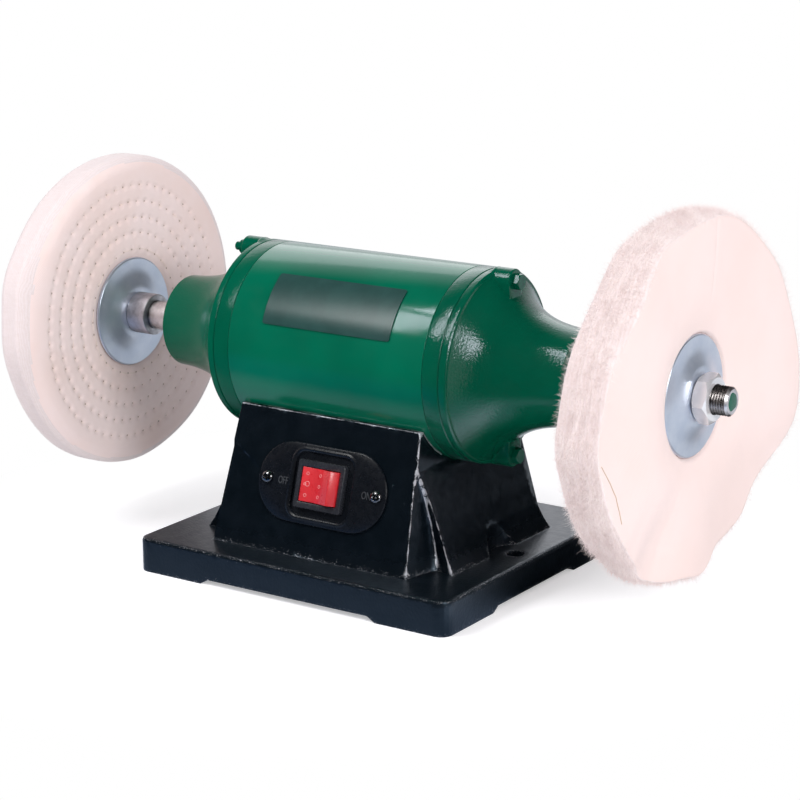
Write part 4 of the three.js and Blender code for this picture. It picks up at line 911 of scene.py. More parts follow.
# %% Turn the bar between them
def shaft_core():
    root = ARBOR_RADIUS - 1.1
    tip = [(SHAFT_END - 3.6, 0.01), (SHAFT_END, 2.6), (SHAFT_END, ARBOR_RADIUS - 1.3)]
    bevel = [(SHAFT_END - TIP, ARBOR_RADIUS - 0.1), (SHAFT_END - TIP - 0.1, root)]
    back = [(THREAD_START, root), (THREAD_START - 0.1, ARBOR_RADIUS)]
    seats = [(161.0, ARBOR_RADIUS), (160.7, 8.2), (160.4, 8.5), (113.1, 8.5)]
    half = tip + bevel + back + seats + [(113.1, 9.7), (112.8, 10.0)]
    return half + [(-x, r) for x, r in reversed(half)]


core = make_piece("shaft_core", *turned(shaft_core(), circle(96), closed=False), sleeve_steel, 30)
print("shaft core has", len(core.data.polygons), "faces")

# %% [markdown]
# The end of the arbor has a centre hole from the lathe, and a dab of green paint was left in the
# right one. A low dome, slightly proud of the hole, stands for the paint.

# %% Dab of paint in the centre hole
DAB_RADIUS = 4.9
DAB_RINGS = ((1.0, 0.0), (0.97, 0.1), (0.85, 0.2), (0.5, 0.32), (0.15, 0.35))


def paint_dab(steps=48):
    rings = []
    for share, lift in DAB_RINGS:
        level = []
        for a in circle(steps):
            wobble = 1 + share * (0.05 * math.sin(3 * a + 1) + 0.035 * math.sin(5 * a))
            level.append(around_arbor(SHAFT_END - 0.05 + lift, DAB_RADIUS * share * wobble, a))
        rings.append(level)
    return close_rings(rings, False)


dab = make_piece("paint_dab", *paint_dab(), bell_green, 60)
shaft = joined("threaded_arbor", core, *threads, dab)
settle(shaft, "arbor", "turned_steel", "arbor_shaft")

# %% [markdown]
# ## Sleeves, flanges and nuts
# On each side a sleeve pushes an inner flange against the buff, and a nut pulls an outer flange
# against it from the other side. The flanges are pressed from sheet: flat in the middle, a dish,
# then a flat rim whose lip is rolled over a little. Rounding the outline makes the press radii.

# %% Turn the sleeves
BORE = 8.2

sleeve_outline = [(161.3, BORE), (161.3, 12.3), (174.7, 12.3), (174.7, BORE)]
sleeve_points, sleeve_faces = turned(rounded(sleeve_outline, 0.7), circle(96))
for name, points in (("right", sleeve_points), ("left", mirrored(sleeve_points))):
    sleeve = make_piece(f"sleeve_skin_{name}", points, sleeve_faces, collar_steel)
    settle(sleeve, "arbor", "turned_steel", f"sleeve_{name}")


# %% Press the flanges
def pressed_flange():
    """Outline in which the rim lies on x = 0 and the boss stands out along +x."""
    t, rise, bore = FLANGE_SHEET, FLANGE_DISH, BORE + 0.1
    front = [(t * 0.5, FLANGE_RADIUS), (t, FLANGE_RADIUS - 0.6), (t, 26.9), (t + rise * 0.3, 22.0)]
    front += [(t + rise * 0.8, 17.0), (t + rise, 14.2), (t + rise, bore)]
    back = [(rise, bore), (rise, 14.8), (rise * 0.8, 17.4), (rise * 0.3, 22.4), (0.0, 27.1)]
    return rounded(front + back + [(0.0, FLANGE_RADIUS - 0.4)], 3.0, 6)


flange_outline = pressed_flange()
FLANGE_SEATS = (("inner", CLAMP_INNER + FLANGE_SHEET, -1), ("outer", CLAMP_OUTER - FLANGE_SHEET, 1))
for side in ("right", "left"):
    for where, base, sign in FLANGE_SEATS:
        points, faces = turned([(base + sign * x, r) for x, r in flange_outline], circle(128))
        points = mirrored(points) if side == "left" else points
        flange = make_piece(f"{where}_flange_skin_{side}", points, faces, zinc, 30)
        settle(flange, "arbor", "zinc_plate", f"{where}_flange_{side}")

# %% Cut the arbor nuts
NUT_FLATS, NUT_CHAMFER, NUT_TURN = 24, 1.5, math.radians(9)

nut_points, nut_faces = hexagon(NUT_FLATS, NUT_HEIGHT, NUT_CHAMFER, BORE, 96, both_ends=True)
for side, sign, turn in (("right", 1, along_x), ("left", -1, along_x.inverted())):
    stand = Matrix.Translation((sign * NUT_START, 0, AXIS_HEIGHT)) @ turn
    stand = stand @ Matrix.Rotation(NUT_TURN, 4, "Z")
    nut = make_piece(f"arbor_nut_skin_{side}", stood(nut_points, stand), nut_faces, nut_zinc, 25)
    settle(nut, "arbor", "zinc_plate", f"arbor_nut_{side}")

# %% [markdown]
# ## Sewn buff
# The left buff is a stack of cotton discs held together by rings of stitching. Each ring pulls
# the cloth in, and the cloth between two rings puffs out. The rim is soft and rounded. The disc
# is swept like a turned part, and then every point of its two faces is moved by three small
# rules: a groove along each ring, a dimple at each stitch, and a slow wave of the whole face.

# %% Sizes of the stitching
STITCH_RINGS = (37.9, 47.7, 57.0, 66.7, 76.5)
STITCH_PITCH = 7.5
SEWN_INNER, SEWN_OUTER = CLAMP_INNER - 0.4, CLAMP_OUTER + 4.2
SEWN_SHOULDER, SEWN_COLUMNS = SEWN_RADIUS - 12, 480
SEAT_RADIUS, SEAT_RISE, SEAT_DEPTH = FLANGE_RADIUS + 0.7, 4.0, 2.3
HUB_RADIUS = ARBOR_RADIUS + 0.3


def stitches_on(radius):
    return round(2 * math.pi * radius / STITCH_PITCH)


def first_stitch(number):
    return 0.031 * number


def slow_wave(angle):
    """A gentle wave round the disc: each part has a count of waves, a height and a start."""
    parts = ((2, 0.5, 0.4), (3, 0.35, 2.1), (5, 0.22, 4.0), (8, 0.12, 1.0))
    return sum(height * math.sin(count * angle + start) for count, height, start in parts)


def bulges(angle, places):
    """Smooth humps and hollows round the rim: (middle and reach in degrees, height in mm)."""
    total = 0.0
    for middle, reach, height in places:
        off = math.degrees(math.remainder(angle - math.radians(middle), 2 * math.pi))
        total += height * math.exp(-((off / reach) ** 2) / 2)
    return total


SEWN_RIM = (
    (-128, 24, -4.2), (-20, 27, -3.2), (-71, 8, 3.0), (-95, 7, 1.6),
    (-166, 12, -1.3), (-222, 14, 1.2), (-282, 18, 1.6),
)
SOFT_SHOULDER = ((-80, 55, 6.0),)
print("stitches on each face:", sum(stitches_on(r) for r in STITCH_RINGS))


# %% Shape the sewn disc
def stitch_sink(radius, angle):
    """How far a face lies below its highest level at this place."""
    sink = 0.0
    for i, sewn_at in enumerate(STITCH_RINGS):
        off = abs(radius - sewn_at)
        if off < 5:
            step = 2 * math.pi / stitches_on(sewn_at)
            along = sewn_at * abs(math.remainder(angle - first_stitch(i), step))
            sink += 0.3 * math.exp(-((off / 1.7) ** 2))
            sink += 1.05 * math.exp(-((off / 1.7) ** 2) - (along / 1.8) ** 2)
    return sink


def sewn_outline():
    near, far = SEWN_INNER, SEWN_OUTER
    seat_near, seat_far = CLAMP_INNER + SEAT_DEPTH, CLAMP_OUTER - SEAT_DEPTH
    low = [(seat_near, HUB_RADIUS), (seat_near, SEAT_RADIUS - 0.5), (near + 1.0, SEAT_RADIUS + 1.2)]
    high = [(far - 1.4, SEAT_RADIUS + 1.2), (seat_far, SEAT_RADIUS - 0.5), (seat_far, HUB_RADIUS)]
    steps = [math.pi / 2 * k / 14 for k in range(1, 14)]
    rim = [(near + 7.5 * (1 - math.cos(t)), SEWN_SHOULDER + 12 * math.sin(t)) for t in steps]
    middle = [(near + 7.5 + (far - near - 15) * k / 16, SEWN_RADIUS) for k in range(17)]
    back = [(near + far - x, r) for x, r in reversed(rim)]
    face = [SEAT_RADIUS + SEAT_RISE + k * 0.8 for k in range(1, 56)]
    face = [r for r in face if r < SEWN_SHOULDER]
    front = low + [(near, r) for r in face] + rim
    return front + middle + back + [(far, r) for r in reversed(face)] + high


def sewn_point(along, radius, angle):
    if radius < SEAT_RADIUS:
        return along, radius
    rise = min(1.0, (radius - SEAT_RADIUS) / 8)
    wave = slow_wave(angle + 0.004 * radius) * rise * (0.4 + 0.6 * radius / SEWN_RADIUS)
    inward = stitch_sink(radius, angle) * rise
    middle = (SEWN_INNER + SEWN_OUTER) / 2
    share = max(-1.0, min(1.0, (along - middle) / ((SEWN_OUTER - SEWN_INNER) / 2)))
    shoulder = max(0.0, (radius - 76) / 19.5) ** 2 * bulges(angle, SOFT_SHOULDER)
    moved = along - share ** 3 * inward + wave + shoulder * max(0.0, -share)
    outside = max(0.0, (radius - 84) / 11.5)
    layer = 0.10 * math.sin(along * 5.7 + 1.2 * math.sin(3 * angle)) + 0.55 * slow_wave(angle)
    return moved, radius + outside * (layer + bulges(angle, SEWN_RIM))


sewn_points, sewn_faces = turned(sewn_outline(), circle(SEWN_COLUMNS), rule=sewn_point)
sewn = make_piece("sewn_buff_cloth", mirrored(sewn_points), sewn_faces, sewn_cotton, 60)
sewn.data.materials.append(sewn_rim)


def from_axis(place):
    """Distance of a place on a mesh from the arbor's axis, in millimetres."""
    return math.hypot(place.y, place.z - AXIS_HEIGHT * MM) / MM


for face in sewn.data.polygons:
    face.material_index = int(from_axis(face.center) > SEWN_RADIUS - 5.5)
print("sewn disc has", len(sewn.data.polygons), "faces")

# %% [markdown]
# A stitch is a needle hole, which pulls the cloth into a dimple, and the thread that runs from
# it to the next hole. Two small discs at the hole carry painted shade: a brownish one for the
# dimple and a darker one for the hole itself. Stitches follow the rings and must lie on the
# puffed cloth, wherever it is. Geometry Nodes do this well. A circle of points stands a little
# off the disc, a raycast drops each point onto the cloth, and one stitch is copied onto each hit.

# %% Model one stitch
THREAD_BOW = (
    (0.3, -0.1, 0.12), (1.6, 0.4, 0.17), (3.75, 0.66, 0.19), (5.9, 0.4, 0.17), (7.2, -0.1, 0.12),
)
# Two discs per stitch, whose colours are painted shade of the dimple and of the needle hole.
STITCH_SHADE_DISCS = (
    ("dimple", painted_dimple_shade, ((1.25, -0.1), (1.05, 0.1), (0.6, 0.04))),
    ("needle_hole", hole_shade, ((0.62, -0.1), (0.6, 0.12), (0.3, 0.04))),
)


def one_stitch():
    """Thread along y from a needle hole at the origin; z points out of the cloth."""
    bow = [[(reach * math.cos(a), y, rise + reach * math.sin(a)) for a in circle(6)]
           for y, rise, reach in THREAD_BOW]
    made = [make_piece("stitch_thread", *close_rings(bow, False), thread_pale, 60)]
    for name, finish, levels in STITCH_SHADE_DISCS:
        rings = [ring(radius, z, 10, 0.85) for radius, z in levels]
        made.append(make_piece(name, *close_rings(rings, False), finish, 60))
    return joined("one_stitch", *made)


stitch = one_stitch()
print("one stitch has", len(stitch.data.polygons), "faces")


# %% Helpers for copies that lie on cloth
def drawn(tree, low, high, seed):
    """A number drawn at random between two others for each point."""
    inputs = {2: low, 3: high, "Seed": seed}
    return add_node(tree, "FunctionNodeRandomValue", inputs, data_type="FLOAT").outputs[1]


def rolled_about(tree, rotation, angle):
    inputs = {0: rotation, 1: vector_of(tree, z=angle)}
    return add_node(tree, "FunctionNodeRotateRotation", inputs, rotation_space="LOCAL").outputs[0]


def aligned(tree, vector, axis, start=None, **settings):
    """A rotation that points an axis along a vector, from no turn or from a given start."""
    inputs = {"Vector": vector} if start is None else {"Vector": vector, "Rotation": start}
    kind = "FunctionNodeAlignRotationToVector"
    return add_node(tree, kind, inputs, axis=axis, **settings).outputs[0]


def copied(tree, points, source, rotation, size):
    """Copies of an object on points, as real faces."""
    shape = add_node(tree, "GeometryNodeObjectInfo", {"Object": source}).outputs["Geometry"]
    inputs = {"Points": points, "Instance": shape, "Rotation": rotation, "Scale": size}
    return real_mesh(tree, add_node(tree, "GeometryNodeInstanceOnPoints", inputs).outputs[0])


# %% Rule for a ring of stitches
def standing_circle(tree, given):
    """Points on a circle round the arbor, a little off the cloth."""
    inputs = {"Vertices": given["Count"], "Radius": given["Radius"]}
    flat = add_node(tree, "GeometryNodeMeshCircle", inputs).outputs[0]
    spin = {"Geometry": flat, "Rotation": vector_of(tree, z=given["Phase"])}
    spun = add_node(tree, "GeometryNodeTransform", spin).outputs[0]
    quarter = calculate(tree, "MULTIPLY", given["Facing"], math.pi / 2)
    shift = vector_of(tree, given["Stand Off"], z=AXIS_HEIGHT * MM)
    stand = {"Geometry": spun, "Rotation": vector_of(tree, y=quarter), "Translation": shift}
    return add_node(tree, "GeometryNodeTransform", stand).outputs[0]


def dropped(tree, points, given):
    """The same points where they fall onto the cloth."""
    inputs = {"Object": given["Cloth"]}
    cloth = add_node(tree, "GeometryNodeObjectInfo", inputs, transform_space="RELATIVE")
    aim = vector_of(tree, calculate(tree, "MULTIPLY", given["Facing"], -1.0))
    ray = add_node(tree, "GeometryNodeRaycast", {
        "Target Geometry": cloth.outputs["Geometry"], "Ray Direction": aim, "Ray Length": 0.05,
    })
    moved = {"Geometry": points, "Position": ray.outputs["Hit Position"]}
    return add_node(tree, "GeometryNodeSetPosition", moved).outputs[0]


def stitch_rule():
    tree, given = new_rule(
        "stitch_ring_rule", ("Cloth", "Object"), ("Stitch", "Object"), ("Radius", "Float"),
        ("Count", "Int"), ("Stand Off", "Float"), ("Facing", "Float"), ("Phase", "Float"),
        ("Seed", "Int"),
    )
    points = dropped(tree, standing_circle(tree, given), given)
    here = add_node(tree, "GeometryNodeInputPosition").outputs[0]
    outward = calculate_vectors(tree, "SUBTRACT", here, vector_of(tree, z=AXIS_HEIGHT * MM))
    facing = aligned(tree, vector_of(tree, given["Facing"]), "Z")
    turned_out = aligned(tree, outward, "X", facing, pivot_axis="Z")
    crooked = rolled_about(tree, turned_out, drawn(tree, -0.09, 0.09, given["Seed"]))
    size = drawn(tree, 0.85, 1.1, given["Seed"])
    made = copied(tree, points, given["Stitch"], crooked, size)
    part = add_node(tree, "GeometryNodeInputMaterialIndex").outputs[0]
    for index, finish in enumerate((thread_pale, painted_dimple_shade, hole_shade)):
        same = {"data_type": "INT", "operation": "EQUAL"}
        chosen = add_node(tree, "FunctionNodeCompare", {2: part, 3: index}, **same).outputs[0]
        made = painted(tree, made, finish, Selection=chosen)
    add_node(tree, "NodeGroupOutput", {0: made})
    return tree


# %% Sew both faces
STAND_OFF = 12

stitch_tree = stitch_rule()
sewn_rings = []
for facing, stand_off in ((1.0, -SEWN_INNER + STAND_OFF), (-1.0, -SEWN_OUTER - STAND_OFF)):
    for i, radius in enumerate(STITCH_RINGS):
        phase = -first_stitch(i) - math.pi if facing > 0 else first_stitch(i)
        values = {
            "Cloth": sewn, "Stitch": stitch, "Radius": radius * MM, "Count": stitches_on(radius),
            "Stand Off": stand_off * MM, "Facing": facing, "Phase": phase, "Seed": i + 7,
        }
        sewn_rings.append(run_rule(f"stitches_{i}", stitch_tree, values))
bpy.data.objects.remove(stitch)
stitching = joined("sewn_buff_stitching", *sewn_rings)
settle(stitching, "arbor", "sewn_cotton")
settle(sewn, "arbor", "sewn_cotton", "sewn_buff")

# %% [markdown]
# ## Loose buff
# The right buff is the same cloth without the stitching, so it flops. Its rim wanders in and
# out, its faces wave, and the cut edges fray into a pile. The slow shape is the one of the CAD
# solid: three tables of shares round the disc. On top of it come the fine parts: layers along
# the rim that bunch together, and faint folds that run outwards over the face.

# %% Tables of the loose buff's waves
RADIUS_SHARES = (-0.5, -0.7, 0, 0.67, 0, -0.4, -0.2, -0.4, 0, 0.67, 0, -0.7)
NEAR_SHARES = (0.35, 0.1, -0.2, -0.85, 0, 0, -0.3, -0.75, -0.3, 1, 0.5, 0.1)
FAR_SHARES = (0.8, 0.8, 0, -0.9, -0.8, -0.2, 0.3, -0.3, 0.3, 1, 0.6, 0.6)
RIM_WANDER, NEAR_WAVE, FAR_WAVE = 3, 6, 4
LOOSE_RIM = (
    (251, 10, 4.0), (197, 4.5, -4.2), (216, 5, 3.2), (185, 5, 3.0), (165, 6, 2.0), (154, 5, 2.0),
    (31, 7, 3.4), (300, 14, 1.2), (95, 5, 1.6), (3, 9, -1.8), (229, 7, -2.2),
)
LOOSE_LEAN = ((251, 11, 6.0), (156, 11, -11.5), (116, 11, -4.2), (134, 7, -1.6), (48, 11, 3.6))
CREASES = ((-0.12, 0.016, 0.7), (2.75, 0.04, 0.6), (2.3, 0.05, 0.45))
EDGE_EASE = 1.4
LOOSE_INNER, LOOSE_OUTER = CLAMP_INNER - 0.2, CLAMP_OUTER + 4.8


def around(shares, turn):
    """A smooth curve through a table that goes once round, at a share of the turn."""
    place = (turn % 1.0) * len(shares)
    first = math.floor(place)
    t = place - first
    p0, p1, p2, p3 = (shares[(first + k) % len(shares)] for k in (-1, 0, 1, 2))
    return (
        2 * p1 + (p2 - p0) * t + (2 * p0 - 5 * p1 + 4 * p2 - p3) * t ** 2
        + (3 * p1 - p0 - 3 * p2 + p3) * t ** 3
    ) / 2


def loose_fold(radius, angle):
    """Faint folds over the cloth: long ones that start at the flange, deeper near the rim."""
    fold = 0.35 * math.sin(7 * angle + 0.5) * math.sin(3 * angle) + 0.22 * math.sin(13 * angle + 2)
    crease = 0.0
    for middle, width, depth in CREASES:
        off = math.remainder(angle - middle - 0.0012 * (radius - 60), 2 * math.pi)
        crease += depth * math.exp(-((off / width) ** 2))
    return max(0.0, (radius - 40) / 58) * (fold - crease)


print("rim wanders by", RIM_WANDER, "mm and the outer face by", NEAR_WAVE, "mm")


# %% Shape the loose disc
LOOSE_COLUMNS, FACE_ROWS, RIM_ROWS = 400, 44, 72


def loose_rows():
    """Rows of the disc's outline as (part, share) pairs, from the inner hub to the outer hub."""
    rows = [("hub_in", 0), ("seat_in", 0)]
    rows += [("face_in", k / FACE_ROWS) for k in range(FACE_ROWS + 1)]
    rows += [("rim", k / RIM_ROWS) for k in range(1, RIM_ROWS)]
    rows += [("face_out", k / FACE_ROWS) for k in range(FACE_ROWS, -1, -1)]
    return rows + [("seat_out", 0), ("hub_out", 0)]


def loose_point(part, share, angle):
    turn = angle / (2 * math.pi)
    reach = LOOSE_RADIUS + RIM_WANDER * around(RADIUS_SHARES, turn) + bulges(angle, LOOSE_RIM)
    near = LOOSE_OUTER + NEAR_WAVE * around(NEAR_SHARES, turn) + bulges(angle, LOOSE_LEAN)
    far = LOOSE_INNER + FAR_WAVE * around(FAR_SHARES, turn)
    inside = part.endswith("in")
    if part.startswith(("hub", "seat")):
        seat = CLAMP_INNER + SEAT_DEPTH if inside else CLAMP_OUTER - SEAT_DEPTH
        return seat, HUB_RADIUS if part.startswith("hub") else SEAT_RADIUS - 0.4
    if part.startswith("face"):
        flat, wavy, deepest = (LOOSE_INNER, far, 0.1) if inside else (LOOSE_OUTER, near, 4.4)
        foot = SEAT_RADIUS + 0.4
        radius = foot + (reach - EDGE_EASE - foot) * share
        ease = share * share * (3 - 2 * share)
        dip = max(0.0, 1 - share / 0.4) ** 2 * deepest
        return flat + (wavy - flat) * ease + loose_fold(radius, angle) - dip, radius
    edge_in, edge_out = (edge + loose_fold(reach, angle) for edge in (far, near))
    swell = math.sin(math.pi * share) ** 0.45
    along = edge_in + (edge_out - edge_in) * share
    bunch = 0.14 * math.sin(along * 3.6 + 2.2 * math.sin(2 * angle) + 1.1 * math.sin(5 * angle + 1))
    bunch += 0.22 * math.sin(along * 0.9 + 3.0 * math.sin(2 * angle + 2))
    bunch += 0.25 * math.sin(23 * angle + along)
    return along, reach - EDGE_EASE + EDGE_EASE * swell + bunch * swell


rows = loose_rows()
loose_shape = turned(rows, circle(LOOSE_COLUMNS), rule=loose_point)
loose = make_piece("loose_buff_cloth", *loose_shape, loose_cotton, 70)
loose.data.materials.append(loose_rim)
rim_rows = {r for r, (part, _) in enumerate(rows) if part == "rim"}
for index, face in enumerate(loose.data.polygons):
    row = index // LOOSE_COLUMNS
    face.material_index = int(row in rim_rows or row + 1 in rim_rows)
print("loose disc has", len(loose.data.polygons), "faces")

# %% [markdown]
# ## Frayed pile
# The rim of the loose buff is a pile of cotton fibres. Hair systems don't survive an export, so
# each fibre is a real, thin, three-sided mesh. There are thousands, so one is modelled with a few
# faces and Geometry Nodes scatter it: points spread over the rim's faces only, each fibre turned
# to the surface and then leaned and scaled at random, with a fixed seed.

# %% Model one fibre
def one_fibre(name, length, width, bend, finish, steps):
    rings = []
    for t in (k / steps for k in range(steps)):
        flat = ring(width * (1 - t) ** 0.7, length * t, 3)
        rings.append([(bend * t * t + x, y, z) for x, y, z in flat])
    points = [p for one in rings for p in one] + [(bend, 0, length)]
    last = (steps - 1) * 3
    tip = [(last + j, last + (j + 1) % 3, len(points) - 1) for j in range(3)]
    return make_piece(name, points, [(2, 1, 0)] + ring_faces(steps, 3, False) + tip, finish, 80)


# %% Rule for the pile
def pile_rule():
    tree, given = new_rule(
        "frayed_pile_rule", ("Cloth", "Geometry"), ("Fibre", "Object"), ("Fibres per m2", "Float"),
        ("Lean", "Float"), ("Comb", "Vector"), ("Shortest", "Float"), ("Longest", "Float"),
        ("Seed", "Int"), ("Finish", "Material"),
    )
    seed = given["Seed"]
    named = {"data_type": "FLOAT"}
    on_rim = add_node(tree, "GeometryNodeInputNamedAttribute", {0: "rim"}, **named).outputs[0]
    density = calculate(tree, "MULTIPLY", on_rim, given["Fibres per m2"])
    inputs = {"Mesh": given["Cloth"], "Density": density, "Seed": seed}
    spread = add_node(tree, "GeometryNodeDistributePointsOnFaces", inputs).outputs
    lean = given["Lean"]
    back = calculate(tree, "MULTIPLY", lean, -1.0)
    lowest, highest = vector_of(tree, back, back, back), vector_of(tree, lean, lean, lean)
    inputs = {0: lowest, 1: highest, "Seed": seed}
    kind = "FunctionNodeRandomValue"
    stray = add_node(tree, kind, inputs, data_type="FLOAT_VECTOR").outputs[0]
    aim = calculate_vectors(tree, "ADD", spread["Normal"], stray)
    turn = aligned(tree, calculate_vectors(tree, "ADD", aim, given["Comb"]), "Z")
    rolled = rolled_about(tree, turn, drawn(tree, 0.0, 2 * math.pi, seed))
    size = drawn(tree, given["Shortest"], given["Longest"], seed)
    made = copied(tree, spread["Points"], given["Fibre"], rolled, size)
    add_node(tree, "NodeGroupOutput", {0: painted(tree, made, given["Finish"])})
    return tree


# %% Let the rim fray
def mark_rim(piece, inner_radius):
    """A copy of a disc's mesh whose attribute is 1 on the faces that fray."""
    mesh = piece.data.copy()
    layer = mesh.attributes.new("rim", "FLOAT", "FACE")
    for i, face in enumerate(mesh.polygons):
        frays = from_axis(face.center) > inner_radius and face.material_index == 1
        layer.data[i].value = float(frays)
    return mesh


fibre_cream = moulded("cotton_fibre", (0.89, 0.785, 0.765), 0.9, 0.3, 0.01, Sheen_Weight=0.3)
fibre_tan = moulded("cotton_fibre_tan", (0.78, 0.65, 0.6), 0.9, 0.3, 0.01, Sheen_Weight=0.3)
short_fibre = one_fibre("one_fibre", 3.6, 0.1, 2.0, fibre_cream, 2)
tuft_hair = one_fibre("one_tuft_hair", 6.0, 0.09, 3.6, fibre_cream, 3)
long_hair = one_fibre("one_long_hair", 11.0, 0.08, 5.5, fibre_cream, 6)
pile_tree = pile_rule()
PILE_INPUTS = ("Fibre", "Fibres per m2", "Lean", "Comb", "Shortest", "Longest", "Seed", "Finish")
piles = {
    "frayed_pile": (short_fibre, 1050000.0, 1.0, (0.0, 0, 0), 0.35, 1.1, 11, fibre_cream),
    "frayed_pile_tan": (short_fibre, 120000.0, 1.0, (0.0, 0, 0), 0.4, 0.9, 23, fibre_tan),
    "tufts_of_pile": (tuft_hair, 600000.0, 1.3, (0, -0.1, -0.2), 0.35, 0.9, 47, fibre_cream),
    "more_tufts": (tuft_hair, 600000.0, 1.3, (0, 0.1, 0.1), 0.3, 0.8, 59, fibre_cream),
    "stray_hairs": (long_hair, 12000.0, 1.1, (0, -0.25, -0.45), 0.35, 0.9, 31, fibre_cream),
}
for name, settings in piles.items():
    pile = run_rule(name, pile_tree, dict(zip(PILE_INPUTS, settings)), mark_rim(loose, 60))
    settle(pile, "arbor", "loose_cotton")
for source in (short_fibre, tuft_hair, long_hair):
    bpy.data.objects.remove(source)
settle(loose, "arbor", "loose_cotton", "loose_buff")


# %% Lay one loose thread on the face
def lying_thread(spots, reach=0.14, steps=40):
    """A thin thread over the outer face, through places given as (degrees, share of the face)."""
    rings = []
    for k in range(steps + 1):
        whole = k / steps * (len(spots) - 1)
        first = min(int(whole), len(spots) - 2)
        pairs = zip(spots[first], spots[first + 1])
        degrees, share = (a + (b - a) * (whole - first) for a, b in pairs)
        angle = math.radians(degrees)
        along, radius = loose_point("face_out", share, angle)
        rings.append([
            around_arbor(along + reach * (0.7 + math.sin(t)), radius + reach * math.cos(t), angle)
            for t in circle(5)
        ])
    return close_rings(rings, False)


spots = ((98.5, 0.97), (102.5, 0.93), (106, 0.9), (112, 0.87), (118, 0.89), (122, 0.92))
gold_thread = make_piece("loose_gold_thread", *lying_thread(spots), thread_gold, 80)
settle(gold_thread, "arbor", "loose_cotton")

# %% [markdown]
# ## Base casting
# Pedestal and base are one iron casting, and its shape is already right in the CAD solid. What
# it lacks are soft edges, since sand and thick paint round every corner. So a copy of the CAD
# mesh is merged, its flat faces are joined, and each sharp edge gets a small bevel. The faces
# are then cut finer, which gives room for the attribute that tells the paint where edges are.

# %% Soften the casting's edges
def casting_copy():
    work = bmesh.new()
    work.from_mesh(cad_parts["base_casting"].data)
    bmesh.ops.remove_doubles(work, verts=work.verts, dist=1e-5)
    bmesh.ops.dissolve_limit(
        work, angle_limit=math.radians(1), verts=work.verts, edges=work.edges,
        use_dissolve_boundaries=False,
    )
    return work


def is_sharp(edge, least_length):
    if len(edge.link_faces) != 2 or edge.calc_length() < least_length * MM:
        return False
    return edge.calc_face_angle() > math.radians(28)


def edge_samples(work, spacing=1.2):
    """A search tree of places along the sharp edges."""
    found = []
    for edge in work.edges:
        if is_sharp(edge, 0.5):
            a, b = (v.co for v in edge.verts)
            parts = max(1, math.ceil(edge.calc_length() / (spacing * MM)))
            found += [a.lerp(b, k / parts) for k in range(parts + 1)]
    tree = kdtree.KDTree(len(found))
    for i, place in enumerate(found):
        tree.insert(place, i)
    tree.balance()
    return tree


def split_long_edges(work, longest):
    bmesh.ops.triangulate(work, faces=work.faces)
    for _ in range(9):
        long_edges = [e for e in work.edges if e.calc_length() > longest * MM]
        if not long_edges:
            break
        bmesh.ops.subdivide_edges(work, edges=long_edges, cuts=1)
        bmesh.ops.triangulate(work, faces=work.faces)


def bevel_edges(work, edges, width, segments):
    bmesh.ops.bevel(
        work, geom=edges, offset=width * MM, offset_type="OFFSET", segments=segments, profile=0.5,
        affect="EDGES", clamp_overlap=True,
    )


casting_work = casting_copy()
near_edge = edge_samples(casting_work)
soft = [e for e in casting_work.edges if is_sharp(e, 2.0)]
bevel_edges(casting_work, soft, 0.65, 2)
split_long_edges(casting_work, 4.5)
print(len(soft), "edges softened,", len(casting_work.faces), "faces")

# %% Mark the edges and paint the casting
WEAR_AND_GLINT_REACH, BASE_TOP, PEDESTAL_FRONT, PEDESTAL_LEFT = 5.0, 20.5, -28, -60

mesh = bpy.data.meshes.new("iron_casting")
bmesh.ops.recalc_face_normals(casting_work, faces=casting_work.faces)
casting_work.to_mesh(mesh)
casting_work.free()
# 1 at a sharp edge, fading out. The paint turns it into worn specks and into painted glints.
wear_and_glint_weight = mesh.attributes.new("edge_wear", "FLOAT", "POINT")
for i, vertex in enumerate(mesh.vertices):
    x, y, z = vertex.co
    handled = z > BASE_TOP * MM and x > PEDESTAL_LEFT * MM and y < PEDESTAL_FRONT * MM
    away = near_edge.find(vertex.co)[2] / MM
    wear_and_glint_weight.data[i].value = max(0.0, 1.0 - away / WEAR_AND_GLINT_REACH) * (1.0 if handled else 0.7)
mesh.materials.append(casting_black)
shade_by_angle(mesh, 35)
settle(put("iron_casting", mesh), "housing", "black_paint", "base_casting")

# %% [markdown]
# ## Switch plate
# The switch sits in a black moulded plate with round ends, screwed to the sloping front of the
# pedestal. A low rim runs round a well, and the rocker's bezel stands in that well, so that it
# can't be knocked. Plate, rim and well are one loft: a list of rounded boxes at rising and
# falling heights, joined ring to ring, all drawn flat and then stood onto the slope with one
# matrix.

# %% Frame of the sloping front and the loft
SLOPE_SIN, SLOPE_COS = 0.2884, 0.9575
FRONT = Matrix((
    (1, 0, 0, 3.3), (0, SLOPE_SIN, -SLOPE_COS, -58.86), (0, SLOPE_COS, SLOPE_SIN, 58.57),
    (0, 0, 0, 1),
))


def rounded_box(width, height, radius, z, steps=8):
    """A ring of points round a box with round corners, at height z."""
    made = []
    for sx, sy, start in ((1, 1, 0), (-1, 1, 90), (-1, -1, 180), (1, -1, 270)):
        for k in range(steps + 1):
            angle = math.radians(start + 90 * k / steps)
            x = sx * (width / 2 - radius) + radius * math.cos(angle)
            y = sy * (height / 2 - radius) + radius * math.sin(angle)
            made.append((x, y, z))
    return made


def loft(levels, hollow):
    """Levels are (width, height, corner radius, z)."""
    rings = [rounded_box(w, h, min(r, min(w, h) / 2 - 0.001), z) for w, h, r, z in levels]
    points, faces = close_rings(rings, hollow)
    return stood(points, FRONT), faces


